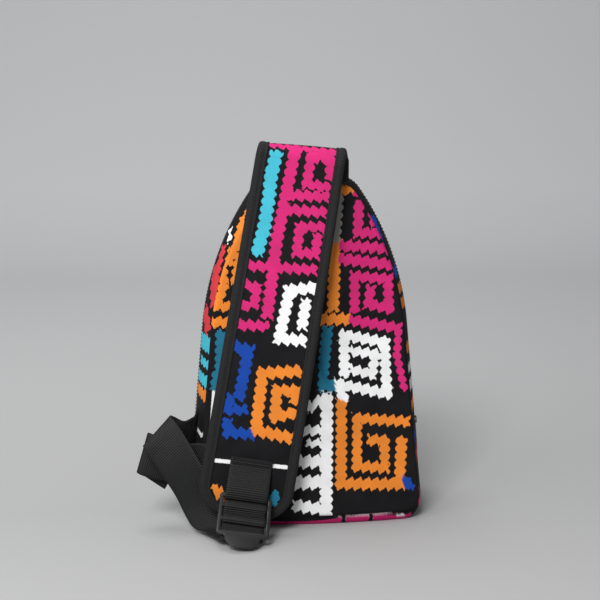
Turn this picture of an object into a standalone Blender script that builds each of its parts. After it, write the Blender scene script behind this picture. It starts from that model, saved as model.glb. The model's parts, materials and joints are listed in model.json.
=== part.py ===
"""Sling bag standing on its base, with one padded strap folded over its top and a webbing adjuster.

Metres, +Z up. The origin is on the floor, in the middle of the bag's width and a little in front of the
middle of its depth. The back panel, the one with the strap before it, faces -Y and the front one +Y.
"""
import math

import bmesh
import bpy
from mathutils import Matrix, Vector

MM = 0.001
CLEARANCE = 0.3 * MM

# Body: half of its outline from the middle of the base up to the middle of the top
BODY_HEIGHT = 298 * MM
BASE_HALF = 83 * MM
BASE_CORNER_RADIUS = 20 * MM
SIDE_LEAN = math.radians(5)
SHOULDER_RADIUS = 250 * MM
SHOULDER_END = math.radians(125)
TOP_CORNER_RADIUS = 24 * MM
BASE_STEPS = 2
CORNER_STEPS = 5
LOW_SIDE_STEPS = 2
HIGH_SIDE_STEPS = 4
SHOULDER_STEPS = 7
TOP_STEPS = 3
BASE_BACK = 62 * MM
BASE_FRONT = 45 * MM
BACK_TAPER = 27 * MM
BACK_BOW = 8 * MM
FRONT_TAPER = 32 * MM
SEAM_INSET = 7 * MM
BASE_ROLL = 2 * MM
FLAT_SHARE = 0.7
MIDDLE_ROWS = 0.3
CLOTH_WALL = 3 * MM
PANEL_DOME = 6 * MM
PANEL_GAP = 0.6 * MM
PANEL_RINGS = (0.8, 0.55, 0.28)
SEAM_ALLOWANCE = 9 * MM
SEAM_TAPE = 1.2 * MM
SEAM_TAPE_GAP = 0.6 * MM
SEAM_TRIM = 0.6 * MM
STRIP_STEPS = 3
STRIP_WALL = 2.2 * MM
STRIP_GAP = 0.95 * MM

# Zip in the gusset
ZIP_END_HEIGHT = 60 * MM
ZIP_PLACE = 0.25
ZIP_TAPE_WIDTH = 6 * MM
ZIP_TAPE_WALL = 1 * MM
COIL_WIDTH = 2.4 * MM
COIL_HEIGHT = 2.2 * MM
COIL_SPLIT = 0.15 * MM
SLIDER_START = 14 * MM
SLIDER_LENGTH = 11 * MM
SLIDER_PLATE = 1.3 * MM
SLIDER_LIP = 1 * MM
SLIDER_ARCH = (6 * MM, 2.2 * MM, 3.6 * MM)
ARCH_TUNNEL = (3.2 * MM, 2.6 * MM)
PULLER_WIDTH = 9 * MM
PULLER_LENGTH = 30 * MM
PULLER_BAR = 1.6 * MM
PULLER_HOLE = (3.4 * MM, 5.4 * MM)

# Padded strap
STRAP_WIDTH = 79 * MM
STRAP_FOLD_WIDTH = 73 * MM
STRAP_RISE = 26 * MM
STRAP_END_HEIGHT = 17 * MM
STRAP_FOLD_RADIUS = 9 * MM
STRAP_LEAN = math.radians(9.9)
STRAP_END_RADIUS = 26 * MM
STRAP_FORWARD = ((0.0, 0 * MM), (0.2, 7 * MM), (0.45, 16 * MM), (0.75, 25 * MM), (1.0, 28 * MM))
STRAP_REAR_SIDE = -2.5 * MM
STRAP_FRONT_SIDE = -8.5 * MM
STRAP_BACK_SET = 2 * MM
BINDING_THICKNESS = 9 * MM
BINDING_WALL = 1 * MM
BINDING_REACH = 10 * MM
LINING_WALL = 1 * MM
FRONT_STATIONS = 9
FOLD_STATIONS = 8
STATION_GAP = 0.02

# Webbing, ladder lock and corner tab
WEBBING_WIDTH = 35 * MM
WEBBING_WALL = 1.5 * MM
TAB_WALL = 1.2 * MM
TAB_LENGTH = 32 * MM
TAB_LOOP_START = 2.2
TAB_LOOP_RISE = 0.95
TAB_LOOP_STEPS = 8
BUCKLE_BAR_UP = 19 * MM
BUCKLE_TILT = math.radians(42)
BUCKLE_BAR = 4.4 * MM
BUCKLE_CROSSBAR = 4 * MM
BUCKLE_CROSSBARS = (9 * MM, 21 * MM)
BUCKLE_RAIL = 3.2 * MM
BUCKLE_PLATE = 3 * MM
BUCKLE_PLATE_TOP = 31 * MM
BUCKLE_RAIL_END = 35 * MM
BUCKLE_TIP = 46 * MM
BUCKLE_SIDE_CLEARANCE = 1 * MM
THUMB_HALF_WIDTH = 15 * MM
CORNER_TAB_WALL = 3 * MM
CORNER_TAB_ROOT = 46 * MM
CORNER_TAB_HEIGHT = 76 * MM
CORNER_TAB_PLACE = -0.5
CORNER_TAB_REACH = 9 * MM
CORNER_TAB_SEAT = 0.6

# Route of the adjuster webbing outside the ladder lock: place, the way its width points, and how far it
# goes along when the lock's bar moves from LOCK_HOME
LOCK_HOME = (-56, -91, 36)
TAIL_ROUTE = (
    ((-115.5, -45.5, 46.5), (0.5, 0.0, 0.87), 0.0),
    ((-138.5, -47.6, 64), (0.32, 0.0, 0.95), 0.0),
    ((-142, -49.4, 66.5), (0.3, 0.0, 0.95), 0.0),
    ((-139, -51.2, 64.5), (0.32, 0.0, 0.95), 0.0),
    ((-118, -52.3, 57), (0.4, 0.0, 0.92), 0.0),
    ((-96, -56, 57), (0.45, 0.05, 0.88), 0.0),
    ((-78, -60.5, 46), (0.6, 0.1, 0.78), 0.0),
    ((-68, -64.5, 29), (0.8, 0.1, 0.55), 0.3),
    ((-62, -72, 13.2), (0.97, 0.05, 0.1), 0.7),
    ((-60, -84, 11.2), (0.985, 0.0, -0.04), 1.0),
    ((-59, -91, 15.2), (0.986, 0.0, -0.12), 1.0),
)
LOAD_ROUTE = (
    ((-63, -107, 6.2), (0.985, 0.0, -0.05), 1.0),
    ((-68, -95, 6), (0.98, -0.05, 0.0), 1.0),
    ((-75, -86, 6.5), (0.96, -0.15, 0.06), 0.7),
    ((-83, -76, 10), (0.91, -0.12, 0.22), 0.3),
    ((-91, -70, 22), (0.8, -0.12, 0.46), 0.0),
    ((-103, -68, 44), (0.7, -0.2, 0.68), 0.0),
    ((-121, -62, 75), (0.66, 0.1, 0.68), 0.0),
    ((-128, -58, 86.5), (0.6, 0.35, 0.66), 0.0),
    ((-129.5, -53.5, 88.5), (0.5, 0.42, 0.7), 0.0),
    ((-124, -46, 86), (0.35, 0.3, 0.86), 0.0),
    ((-112, -38, 80), (0.2, 0.15, 0.96), 0.0),
)

FABRIC = "printed cloth"
MATERIALS = {
    FABRIC: ((0.02, 0.02, 0.024), 0.85),
    "hidden cloth": ((0.015, 0.015, 0.017), 0.9),
    "binding": ((0.03, 0.03, 0.032), 0.8),
    "webbing": ((0.024, 0.024, 0.025), 0.75),
    "zip": ((0.02, 0.02, 0.02), 0.6),
    "moulded plastic": ((0.04, 0.04, 0.042), 0.4),
    "zip metal": ((0.35, 0.35, 0.36), 0.35),
}


def clear_scene():
    for item in list(bpy.data.objects):
        bpy.data.objects.remove(item, do_unlink=True)


def make_collection(name):
    collection = bpy.data.collections.new(name)
    bpy.context.scene.collection.children.link(collection)
    return collection


def make_material(node, finish):
    colour, roughness = MATERIALS[finish]
    material = bpy.data.materials.new(node)
    material.use_nodes = True
    shader = material.node_tree.nodes["Principled BSDF"]
    shader.inputs["Base Color"].default_value = (*colour, 1.0)
    shader.inputs["Roughness"].default_value = roughness
    shader.inputs["Metallic"].default_value = 0.9 if finish == "zip metal" else 0.0
    return material


def add_object(node, mesh, finish, collection, matrix=None):
    item = bpy.data.objects.new(node, mesh)
    item.matrix_world = matrix or Matrix()
    mesh.materials.clear()
    mesh.materials.append(make_material(node, finish))
    collection.objects.link(item)
    return item


def thicken(item, wall, offset):
    solid = item.modifiers.new("wall", "SOLIDIFY")
    solid.thickness = wall
    solid.offset = offset
    solid.use_even_offset = False
    return item


def grid_mesh(name, rows, close_columns=False):
    """Open sheet through rows of points; its faces look along (across rows) x (along a row)."""
    bm = bmesh.new()
    sheet = [[bm.verts.new(point) for point in row] for row in rows]
    columns = len(rows[0])
    last = columns if close_columns else columns - 1
    for low, high in zip(sheet, sheet[1:]):
        for i in range(last):
            j = (i + 1) % columns
            bm.faces.new((low[i], high[i], high[j], low[j]))
    mesh = bpy.data.meshes.new(name)
    bm.to_mesh(mesh)
    bm.free()
    return mesh


# Body outline

def arc_steps(start, end, steps):
    return [start + (end - start) * (k + 1) / steps for k in range(steps)]


def side_length():
    """Length of the straight side, from what the arcs leave of the height."""
    lean = math.pi / 2 + SIDE_LEAN
    corner = BASE_CORNER_RADIUS * (1 - math.cos(lean))
    shoulder = SHOULDER_RADIUS * (math.cos(lean) - math.cos(SHOULDER_END))
    top = TOP_CORNER_RADIUS * (1 + math.cos(SHOULDER_END))
    return (BODY_HEIGHT - corner - shoulder - top) / math.sin(lean)


def half_outline(inset, lift):
    """Right half of the outline as (x, z), drawn in by inset, with its base at the height lift."""
    lean = math.pi / 2 + SIDE_LEAN
    points = [(BASE_HALF * k / BASE_STEPS, lift) for k in range(BASE_STEPS + 1)]

    def add_arc(radius, start, end, steps):
        x, z = points[-1]
        for angle in arc_steps(start, end, steps):
            points.append((x + radius * (math.sin(angle) - math.sin(start)),
                           z + radius * (math.cos(start) - math.cos(angle))))

    add_arc(BASE_CORNER_RADIUS - inset, 0.0, lean, CORNER_STEPS)
    x, z = points[-1]
    straight = side_length() + (inset - lift) / math.sin(lean)
    to_zip = ZIP_END_HEIGHT - BASE_CORNER_RADIUS
    stops = [to_zip * (k + 1) / LOW_SIDE_STEPS for k in range(LOW_SIDE_STEPS)]
    stops += [to_zip + (straight - to_zip) * (k + 1) / HIGH_SIDE_STEPS for k in range(HIGH_SIDE_STEPS)]
    for along in stops:
        points.append((x + along * math.cos(lean), z + along * math.sin(lean)))
    add_arc(SHOULDER_RADIUS - inset, lean, SHOULDER_END, SHOULDER_STEPS)
    add_arc(TOP_CORNER_RADIUS - inset, SHOULDER_END, math.pi, TOP_STEPS)
    points.append((0.0, points[-1][1]))
    return points


ZIP_INDEX = BASE_STEPS + CORNER_STEPS + LOW_SIDE_STEPS
HALF_COUNT = len(half_outline(0.0, 0.0))
RING_COUNT = 2 * HALF_COUNT - 2


def ring_xz(index, inset, lift):
    """Point of the whole outline: indices run up the right side and down the left one."""
    half = half_outline(inset, lift)
    index %= RING_COUNT
    if index < HALF_COUNT:
        return half[index]
    x, z = half[RING_COUNT - index]
    return -x, z


def back_y(z, x=0.0):
    """Back of the bag, which bows out a little in the middle."""
    return -BASE_BACK + BACK_TAPER * z / BODY_HEIGHT + BACK_BOW * (x / BASE_HALF) ** 2


def front_y(z):
    return BASE_FRONT - FRONT_TAPER * z / BODY_HEIGHT


def shell_point(index, share, shift=0.0, deeper=0.0):
    """Point of the gusset: share -1 is the back seam, 1 the front seam; shift moves it along Y."""
    x, z = ring_xz(index, 0.0, 0.0)
    middle = (back_y(z, x) + front_y(z)) / 2
    half_depth = (front_y(z) - back_y(z, x)) / 2
    y = middle + share * half_depth + shift
    place = (y - middle) / half_depth
    lift = BASE_ROLL * max(0.0, (abs(place) - FLAT_SHARE) / (1 - FLAT_SHARE)) ** 2
    x, z = ring_xz(index, SEAM_INSET * place * place + deeper, lift + deeper)
    return Vector((x, y, z))


# Body pieces

def gusset_strip(node, finish, collection, indices, rows, wall, deeper=0.0, trim=0.0):
    """Strip of the gusset along the ring; rows are (share, shift) pairs from back to front."""
    points = [[shell_point(i, share, shift, deeper) for i in indices] for share, shift in rows]
    for row in points if trim else ():
        row[0] += (row[1] - row[0]).normalized() * trim
        row[-1] += (row[-2] - row[-1]).normalized() * trim
    return thicken(add_object(node, grid_mesh(node, points), finish, collection), wall, -1.0)


def build_gusset(collection):
    lower = range(-ZIP_INDEX, ZIP_INDEX + 1)
    upper = range(ZIP_INDEX, RING_COUNT - ZIP_INDEX + 1)
    sides = [(s, 0.0) for s in (-1.0, -FLAT_SHARE, -MIDDLE_ROWS, MIDDLE_ROWS, FLAT_SHARE, 1.0)]
    gusset_strip("side_gusset", FABRIC, collection, lower, sides, CLOTH_WALL)
    coil_edge = COIL_SPLIT + COIL_WIDTH
    tape_edge = coil_edge + CLEARANCE + ZIP_TAPE_WIDTH
    for side, word in ((-1, "back"), (1, "front")):
        steps = [k / STRIP_STEPS for k in range(STRIP_STEPS + 1)]
        rows = [(ZIP_PLACE + (side - ZIP_PLACE) * t, (1 - t) * side * (tape_edge + STRIP_GAP)) for t in steps]
        tape = [(ZIP_PLACE, side * (coil_edge + CLEARANCE)), (ZIP_PLACE, side * tape_edge)]
        coil = [(ZIP_PLACE, side * COIL_SPLIT), (ZIP_PLACE, side * coil_edge)]
        if side < 0:
            rows.reverse()
            tape.reverse()
            coil.reverse()
        gusset_strip("zip_gusset_" + word, FABRIC, collection, upper, rows, STRIP_WALL, trim=SEAM_TRIM)
        gusset_strip("zip_tape_" + word, "zip", collection, upper, tape, ZIP_TAPE_WALL,
                     deeper=ZIP_TAPE_WALL, trim=SEAM_TRIM)
        gusset_strip("zip_coil_" + word, "zip", collection, upper, coil, COIL_HEIGHT, trim=SEAM_TRIM)


def build_seam_bindings(collection):
    inner = CLOTH_WALL + SEAM_TAPE_GAP
    ring = range(RING_COUNT)
    for side, word in ((-1, "back"), (1, "front")):
        rows = [(side, -side * CLOTH_WALL), (side, -side * (CLOTH_WALL + SEAM_ALLOWANCE))]
        if side > 0:
            rows.reverse()
        points = [[shell_point(i, share, shift, inner) for i in ring] for share, shift in rows]
        mesh = grid_mesh(word, points, close_columns=True)
        node = "seam_binding_" + word
        thicken(add_object(node, mesh, "binding", collection), SEAM_TAPE, -1.0)


def panel_ring(side, scale):
    """Ring of a panel's outer face, drawn towards its middle by scale."""
    middle = Vector((0.0, 0.0, BODY_HEIGHT / 2))
    ring = []
    for index in range(RING_COUNT):
        rim = shell_point(index, side)
        point = middle + (rim - middle) * scale
        taper = BACK_TAPER if side < 0 else -FRONT_TAPER
        plane = rim.y + taper * (point.z - rim.z) / BODY_HEIGHT
        point.y = plane + side * (PANEL_GAP + CLOTH_WALL + PANEL_DOME * (1 - scale * scale) ** 2)
        ring.append(point)
    return ring


def build_panels(collection):
    for side, word in ((-1, "back"), (1, "front")):
        rings = [panel_ring(side, scale) for scale in (1.0, *PANEL_RINGS)]
        bm = bmesh.new()
        loops = [[bm.verts.new(point) for point in ring] for ring in rings]
        for outer, inner in zip(loops, loops[1:]):
            for i in range(RING_COUNT):
                j = (i + 1) % RING_COUNT
                bm.faces.new((outer[i], outer[j], inner[j], inner[i])[::-side])
        bm.faces.new(loops[-1][::-side])
        mesh = bpy.data.meshes.new(word)
        bm.to_mesh(mesh)
        bm.free()
        thicken(add_object(word + "_panel", mesh, FABRIC, collection), CLOTH_WALL, -1.0)


# Zip slider and puller

def slider_matrix():
    """Frame of the slider: X is away from the bag, Y across the zip, Z up along it."""
    start = shell_point(ZIP_INDEX, ZIP_PLACE)
    end = shell_point(ZIP_INDEX + HIGH_SIDE_STEPS, ZIP_PLACE)
    up = (end - start).normalized()
    outward = Vector((math.cos(SIDE_LEAN), 0.0, math.sin(SIDE_LEAN)))
    across = up.cross(outward).normalized()
    outward = across.cross(up)
    frame = Matrix((outward, across, up)).transposed().to_4x4()
    return Matrix.Translation(start + up * SLIDER_START) @ frame


def box_mesh(name, low, high):
    bm = bmesh.new()
    bmesh.ops.create_cube(bm, size=1.0)
    size = Vector(high) - Vector(low)
    bmesh.ops.scale(bm, vec=size, verts=bm.verts)
    bmesh.ops.translate(bm, vec=(Vector(high) + Vector(low)) / 2, verts=bm.verts)
    mesh = bpy.data.meshes.new(name)
    bm.to_mesh(mesh)
    bm.free()
    return mesh


def add_boolean(item, operation, low, high, cutters):
    tool = bpy.data.objects.new(item.name + "_tool", box_mesh("tool", low, high))
    tool.matrix_world = item.matrix_world
    tool.hide_render = True
    tool.display_type = "WIRE"
    cutters.objects.link(tool)
    step = item.modifiers.new(operation.lower(), "BOOLEAN")
    step.operation = operation
    step.object = tool


def slider_levels():
    """Heights above the coil: the plate's two faces and the middle of the arch's tunnel."""
    plate_low = CLEARANCE
    plate_high = plate_low + SLIDER_PLATE
    return plate_low, plate_high, plate_high + ARCH_TUNNEL[1] / 2


def build_slider(collection, cutters):
    plate_low, plate_high = slider_levels()[:2]
    half_width = COIL_SPLIT + COIL_WIDTH + CLEARANCE + SLIDER_LIP
    half_length = SLIDER_LENGTH / 2
    mesh = box_mesh("slider", (plate_low, -half_width, -half_length), (plate_high, half_width, half_length))
    slider = add_object("zip_slider", mesh, "zip metal", collection, slider_matrix())
    length, width, height = SLIDER_ARCH
    overlap = SLIDER_PLATE / 2
    add_boolean(slider, "UNION", (plate_high - overlap, -width / 2, -length / 2),
                (plate_high + height, width / 2, length / 2), cutters)
    add_boolean(slider, "DIFFERENCE", (plate_high, -width, -ARCH_TUNNEL[0] / 2),
                (plate_high + ARCH_TUNNEL[1], width, ARCH_TUNNEL[0] / 2), cutters)


def build_puller(collection, cutters):
    pivot = slider_levels()[2]
    half_bar = PULLER_BAR / 2
    matrix = slider_matrix() @ Matrix.Translation((pivot, 0.0, 0.0))
    mesh = box_mesh("puller", (-half_bar, -PULLER_WIDTH / 2, half_bar - PULLER_LENGTH),
                    (half_bar, PULLER_WIDTH / 2, half_bar))
    puller = add_object("zip_puller", mesh, "zip metal", collection, matrix)
    width, length = PULLER_HOLE
    add_boolean(puller, "DIFFERENCE", (-PULLER_BAR, -width / 2, -length),
                (PULLER_BAR, width / 2, -half_bar), cutters)


# Padded strap: a flat pattern laid along stations that run up behind, over the fold and down in front

def strap_stations():
    """(place, along, across, normal) at each station, from the bag's top to the strap's lower end."""
    centre_z = BODY_HEIGHT + STRAP_RISE - BINDING_THICKNESS / 2 - STRAP_FOLD_RADIUS
    front_length = (centre_z - STRAP_END_HEIGHT) / math.cos(STRAP_LEAN)
    rear_y = back_y(BODY_HEIGHT) - STRAP_BACK_SET
    front_side = rear_y + BINDING_THICKNESS / 2
    middle = (back_y(BODY_HEIGHT) + front_y(BODY_HEIGHT)) / 2
    half_depth = (front_y(BODY_HEIGHT) - back_y(BODY_HEIGHT)) / 2
    share = (front_side - middle) / half_depth
    foot_z = BODY_HEIGHT - SEAM_INSET * share * share + CLEARANCE
    places = [Vector((STRAP_REAR_SIDE, rear_y, foot_z))]
    turns = [0.0]
    for k in range(FOLD_STATIONS + 1):
        angle = math.pi * k / FOLD_STATIONS
        y = rear_y - STRAP_FOLD_RADIUS * (1 - math.cos(angle))
        x = STRAP_REAR_SIDE + (STRAP_FRONT_SIDE - STRAP_REAR_SIDE) * k / FOLD_STATIONS
        places.append(Vector((x, y, centre_z + STRAP_FOLD_RADIUS * math.sin(angle))))
        turns.append(k / FOLD_STATIONS)
    top = places[-1].copy()
    shares = [(k + 1) / FRONT_STATIONS for k in range(FRONT_STATIONS)]
    end_share = 1 - STRAP_END_RADIUS / front_length
    shares = sorted({*[s for s in shares if s < end_share - STATION_GAP], end_share, (1 + end_share) / 2, 1.0})
    for part in shares:
        down = part * front_length
        forward = 0.0
        for (a, low), (b, high) in zip(STRAP_FORWARD, STRAP_FORWARD[1:]):
            if a <= part <= b:
                forward = low + (high - low) * (part - a) / (b - a)
        places.append(top + Vector((-down * math.sin(STRAP_LEAN), -forward, -down * math.cos(STRAP_LEAN))))
        turns.append(1.0)
    stations = []
    length = 0.0
    for k, place in enumerate(places):
        if k:
            length += (place - places[k - 1]).length
        ahead = places[min(k + 1, len(places) - 1)] - places[max(k - 1, 0)]
        tilt = STRAP_LEAN * turns[k]
        across = Vector((math.cos(tilt), 0.0, -math.sin(tilt)))
        along = (ahead - across * ahead.dot(across)).normalized()
        if k == 0:
            along = Vector((0.0, 0.0, 1.0))
        stations.append((length, place, across, along.cross(across).normalized()))
    return stations


STRAP = strap_stations()
STRAP_LENGTH = STRAP[-1][0]


def on_strap(along, side, height):
    """Place on the strap: along its length, to the side of its middle, above its middle surface."""
    along = max(0.0, along)
    k = max(i for i, station in enumerate(STRAP) if station[0] <= along)
    k = min(k, len(STRAP) - 2)
    (start, place_a, across_a, normal_a), (end, place_b, across_b, normal_b) = STRAP[k], STRAP[k + 1]
    share = (along - start) / (end - start)
    place = place_a.lerp(place_b, share)
    return place + across_a.lerp(across_b, share) * side + normal_a.lerp(normal_b, share) * height


def strap_half_width(along, inset):
    """Half of the strap's width less an inset, rounded off at its lower end."""
    share = min(1.0, along / (STRAP_LENGTH - STRAP_END_RADIUS))
    half = (STRAP_FOLD_WIDTH + (STRAP_WIDTH - STRAP_FOLD_WIDTH) * share) / 2 - inset
    radius = STRAP_END_RADIUS - inset
    into = along - (STRAP_LENGTH - STRAP_END_RADIUS)
    if into <= 0:
        return half
    return half - radius + math.sqrt(max(0.0, radius * radius - into * into))


def strap_sheet(node, finish, collection, inset, height, wall):
    ends = [STRAP_LENGTH - STRAP_END_RADIUS + (STRAP_END_RADIUS - inset) * s for s in (0.5, 0.8, 0.95, 1.0)]
    stops = [s[0] for s in STRAP if s[0] <= STRAP_LENGTH - STRAP_END_RADIUS + CLEARANCE] + ends
    rows = [[on_strap(a, strap_half_width(a, inset) * k / 2, height) for k in (-2, -1, 0, 1, 2)] for a in stops]
    return thicken(add_object(node, grid_mesh(node, rows), finish, collection), wall, -1.0)


def build_strap(collection):
    room = BINDING_THICKNESS / 2 - BINDING_WALL - CLEARANCE
    inset = BINDING_WALL + CLEARANCE
    pad_wall = 2 * room - LINING_WALL - CLEARANCE
    strap_sheet("strap_pad", FABRIC, collection, inset, room, pad_wall)
    strap_sheet("strap_lining", "hidden cloth", collection, inset, LINING_WALL - room, LINING_WALL)


def binding_stops():
    """(along, side, outward along, outward side) of the strap's edge, down its left and up its right."""
    straight_end = STRAP_LENGTH - STRAP_END_RADIUS
    corner = STRAP_WIDTH / 2 - STRAP_END_RADIUS
    lengths = [station[0] for station in STRAP if station[0] < straight_end - CLEARANCE]
    stops = [(length, -strap_half_width(length, 0.0), 0.0, -1.0) for length in lengths]
    for k in range(6):
        angle = math.pi / 2 * k / 5
        stops.append((straight_end + STRAP_END_RADIUS * math.sin(angle),
                      -corner - STRAP_END_RADIUS * math.cos(angle), math.sin(angle), -math.cos(angle)))
    return stops + [(a, -q, da, -dq) for a, q, da, dq in reversed(stops)]


def build_binding(collection):
    outer = BINDING_THICKNESS / 2
    inner = outer - BINDING_WALL
    section = [(0.0, outer), (-BINDING_REACH, outer), (-BINDING_REACH, inner), (-BINDING_WALL, inner),
               (-BINDING_WALL, -inner), (-BINDING_REACH, -inner), (-BINDING_REACH, -outer), (0.0, -outer)]
    rows = []
    for along, side, out_along, out_side in binding_stops():
        rows.append([on_strap(along + e * out_along, side + e * out_side, n) for e, n in section])
    mesh = grid_mesh("binding", rows, close_columns=True)
    bm = bmesh.new()
    bm.from_mesh(mesh)
    bmesh.ops.holes_fill(bm, edges=[edge for edge in bm.edges if edge.is_boundary], sides=0)
    bmesh.ops.recalc_face_normals(bm, faces=bm.faces)
    bmesh.ops.triangulate(bm, faces=[f for f in bm.faces if len(f.verts) > 4])
    bm.to_mesh(mesh)
    bm.free()
    add_object("strap_binding", mesh, "binding", collection)


# Ladder lock: X across, Y away from the strap, Z up along it, with its top bar at the origin

def buckle_bar_along():
    return STRAP_LENGTH - BUCKLE_BAR_UP


def loop_radius():
    """Inner radius of the webbing tab's loop, which clears the corners of the lock's top bar."""
    return math.hypot(BUCKLE_BAR / 2, BUCKLE_PLATE / 2) + CLEARANCE


def buckle_bar_height():
    return BINDING_THICKNESS / 2 + CLEARANCE + TAB_WALL + loop_radius()


def buckle_matrix():
    place = on_strap(buckle_bar_along(), 0.0, buckle_bar_height())
    across = Vector((math.cos(STRAP_LEAN), 0.0, -math.sin(STRAP_LEAN)))
    flat = Vector((-math.sin(STRAP_LEAN), 0.0, -math.cos(STRAP_LEAN)))
    down = flat * math.cos(BUCKLE_TILT) + Vector((0.0, -1.0, 0.0)) * math.sin(BUCKLE_TILT)
    up = -down
    frame = Matrix((across, up.cross(across), up)).transposed().to_4x4()
    return Matrix.Translation(place) @ frame


def in_buckle(down, outward):
    return buckle_matrix() @ Vector((0.0, -outward, -down))


def rounded_box_spline(curve, left, right, top, bottom):
    spline = curve.splines.new("POLY")
    corners = ((left, top), (right, top), (right, bottom), (left, bottom))
    spline.points.add(3)
    for point, (x, y) in zip(spline.points, corners):
        point.co = (x, y, 0.0, 1.0)
    spline.use_cyclic_u = True


def build_buckle(collection):
    inner = WEBBING_WIDTH / 2 + BUCKLE_SIDE_CLEARANCE
    outer = inner + BUCKLE_RAIL
    bar = BUCKLE_BAR / 2
    curve = bpy.data.curves.new("ladder_lock", "CURVE")
    curve.dimensions = "2D"
    curve.fill_mode = "BOTH"
    curve.extrude = BUCKLE_PLATE / 2
    right = [(outer - bar / 2, bar), (outer, bar / 2), (outer, -BUCKLE_RAIL_END + bar),
             (outer - bar / 2, -BUCKLE_RAIL_END), (THUMB_HALF_WIDTH, -BUCKLE_RAIL_END)]
    drop = BUCKLE_TIP - BUCKLE_RAIL_END
    for k in range(1, 6):
        angle = math.pi / 2 * k / 6
        right.append((THUMB_HALF_WIDTH * math.cos(angle), -BUCKLE_RAIL_END - drop * math.sin(angle)))
    outline = right + [(0.0, -BUCKLE_TIP)] + [(-x, y) for x, y in reversed(right)]
    spline = curve.splines.new("POLY")
    spline.points.add(len(outline) - 1)
    for point, (x, y) in zip(spline.points, outline):
        point.co = (x, y, 0.0, 1.0)
    spline.use_cyclic_u = True
    edges = [-bar]
    for place in BUCKLE_CROSSBARS:
        edges += [-place + BUCKLE_CROSSBAR / 2, -place - BUCKLE_CROSSBAR / 2]
    edges.append(-BUCKLE_PLATE_TOP)
    for top, bottom in zip(edges[::2], edges[1::2]):
        rounded_box_spline(curve, -inner, inner, top, bottom)
    holder = bpy.data.objects.new("ladder_lock_outline", curve)
    bpy.context.scene.collection.objects.link(holder)
    bpy.context.view_layer.update()
    mesh = bpy.data.meshes.new_from_object(holder.evaluated_get(bpy.context.evaluated_depsgraph_get()))
    bpy.data.objects.remove(holder)
    bm = bmesh.new()
    bm.from_mesh(mesh)
    bmesh.ops.remove_doubles(bm, verts=bm.verts, dist=0.01 * MM)
    bmesh.ops.recalc_face_normals(bm, faces=bm.faces)
    bm.to_mesh(mesh)
    bm.free()
    upright = Matrix.Rotation(math.pi / 2, 4, "X")
    add_object("ladder_lock", mesh, "moulded plastic", collection, buckle_matrix() @ upright)


# Webbing

def ribbon(node, collection, stops, wall):
    """Ribbon through (left edge, right edge) pairs of points."""
    mesh = grid_mesh(node, [[left, right] for left, right in stops])
    return thicken(add_object(node, mesh, "webbing", collection), wall, 0.0)


def build_webbing_tab(collection):
    """Tab sewn on the strap: out over the lock's top bar and back under it."""
    bar_along = buckle_bar_along()
    bar_height = buckle_bar_height()
    loop = loop_radius() + TAB_WALL / 2
    face = BINDING_THICKNESS / 2 - BINDING_WALL + 2 * CLEARANCE
    sewn = bar_along - TAB_LENGTH
    lead = bar_along - TAB_LOOP_START * loop
    path = [(sewn, face + 1.5 * TAB_WALL + CLEARANCE), (lead, bar_height + loop * TAB_LOOP_RISE)]
    for k in range(TAB_LOOP_STEPS + 1):
        angle = math.pi * k / TAB_LOOP_STEPS
        path.append((bar_along + loop * math.sin(angle), bar_height + loop * math.cos(angle)))
    path += [(lead, bar_height - loop), (sewn, face + 0.5 * TAB_WALL)]
    half = WEBBING_WIDTH / 2
    stops = [(on_strap(a, -half, n), on_strap(a, half, n)) for a, n in path]
    ribbon("webbing_tab", collection, stops, TAB_WALL)


def lock_route():
    """(down, outward) of the webbing's middle where it passes behind, over and back through the lock."""
    over = BUCKLE_PLATE / 2 + CLEARANCE + WEBBING_WALL / 2
    first, second = BUCKLE_CROSSBARS
    half = BUCKLE_CROSSBAR / 2
    beside = 1.1 * (CLEARANCE + WEBBING_WALL / 2)
    corner = beside * 0.8
    face = BUCKLE_PLATE / 2
    return (
        (first + half, -1.7 * over), (first - half, -1.25 * over),
        (first - half - beside, -0.5 * over), (first - half - beside, face),
        (first - half - corner, face + corner), (first - half, over), (first + half, over),
        ((first + second) / 2, 0.2 * over), (second - half, over), (second + half, over),
        (second + half + corner, face + corner), (second + half + beside, face),
        (second + half + beside, -0.4 * over), (BUCKLE_PLATE_TOP - beside, -over),
        (BUCKLE_PLATE_TOP + MM, -1.4 * over), (BUCKLE_PLATE_TOP + 5 * MM, -1.8 * over),
    )


def build_adjuster(collection):
    half = WEBBING_WIDTH / 2
    across = Vector((math.cos(STRAP_LEAN), 0.0, -math.sin(STRAP_LEAN)))

    def pair(place, way):
        return place - way * half, place + way * half

    moved = buckle_matrix().translation - Vector(LOCK_HOME) * MM

    def along(route):
        return [pair(Vector(place) * MM + moved * share, Vector(way).normalized()) for place, way, share in route]

    stops = along(TAIL_ROUTE)
    stops += [pair(in_buckle(down, outward), across) for down, outward in lock_route()]
    stops += along(LOAD_ROUTE)
    root_low, root_high, tip_low, tip_high = corner_tab_corners()
    away = ((tip_low + tip_high) - (root_low + root_high)).normalized() * CLEARANCE
    stops.append((tip_low + away, tip_high + away))
    ribbon("adjuster_webbing", collection, stops, WEBBING_WALL)


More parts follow.
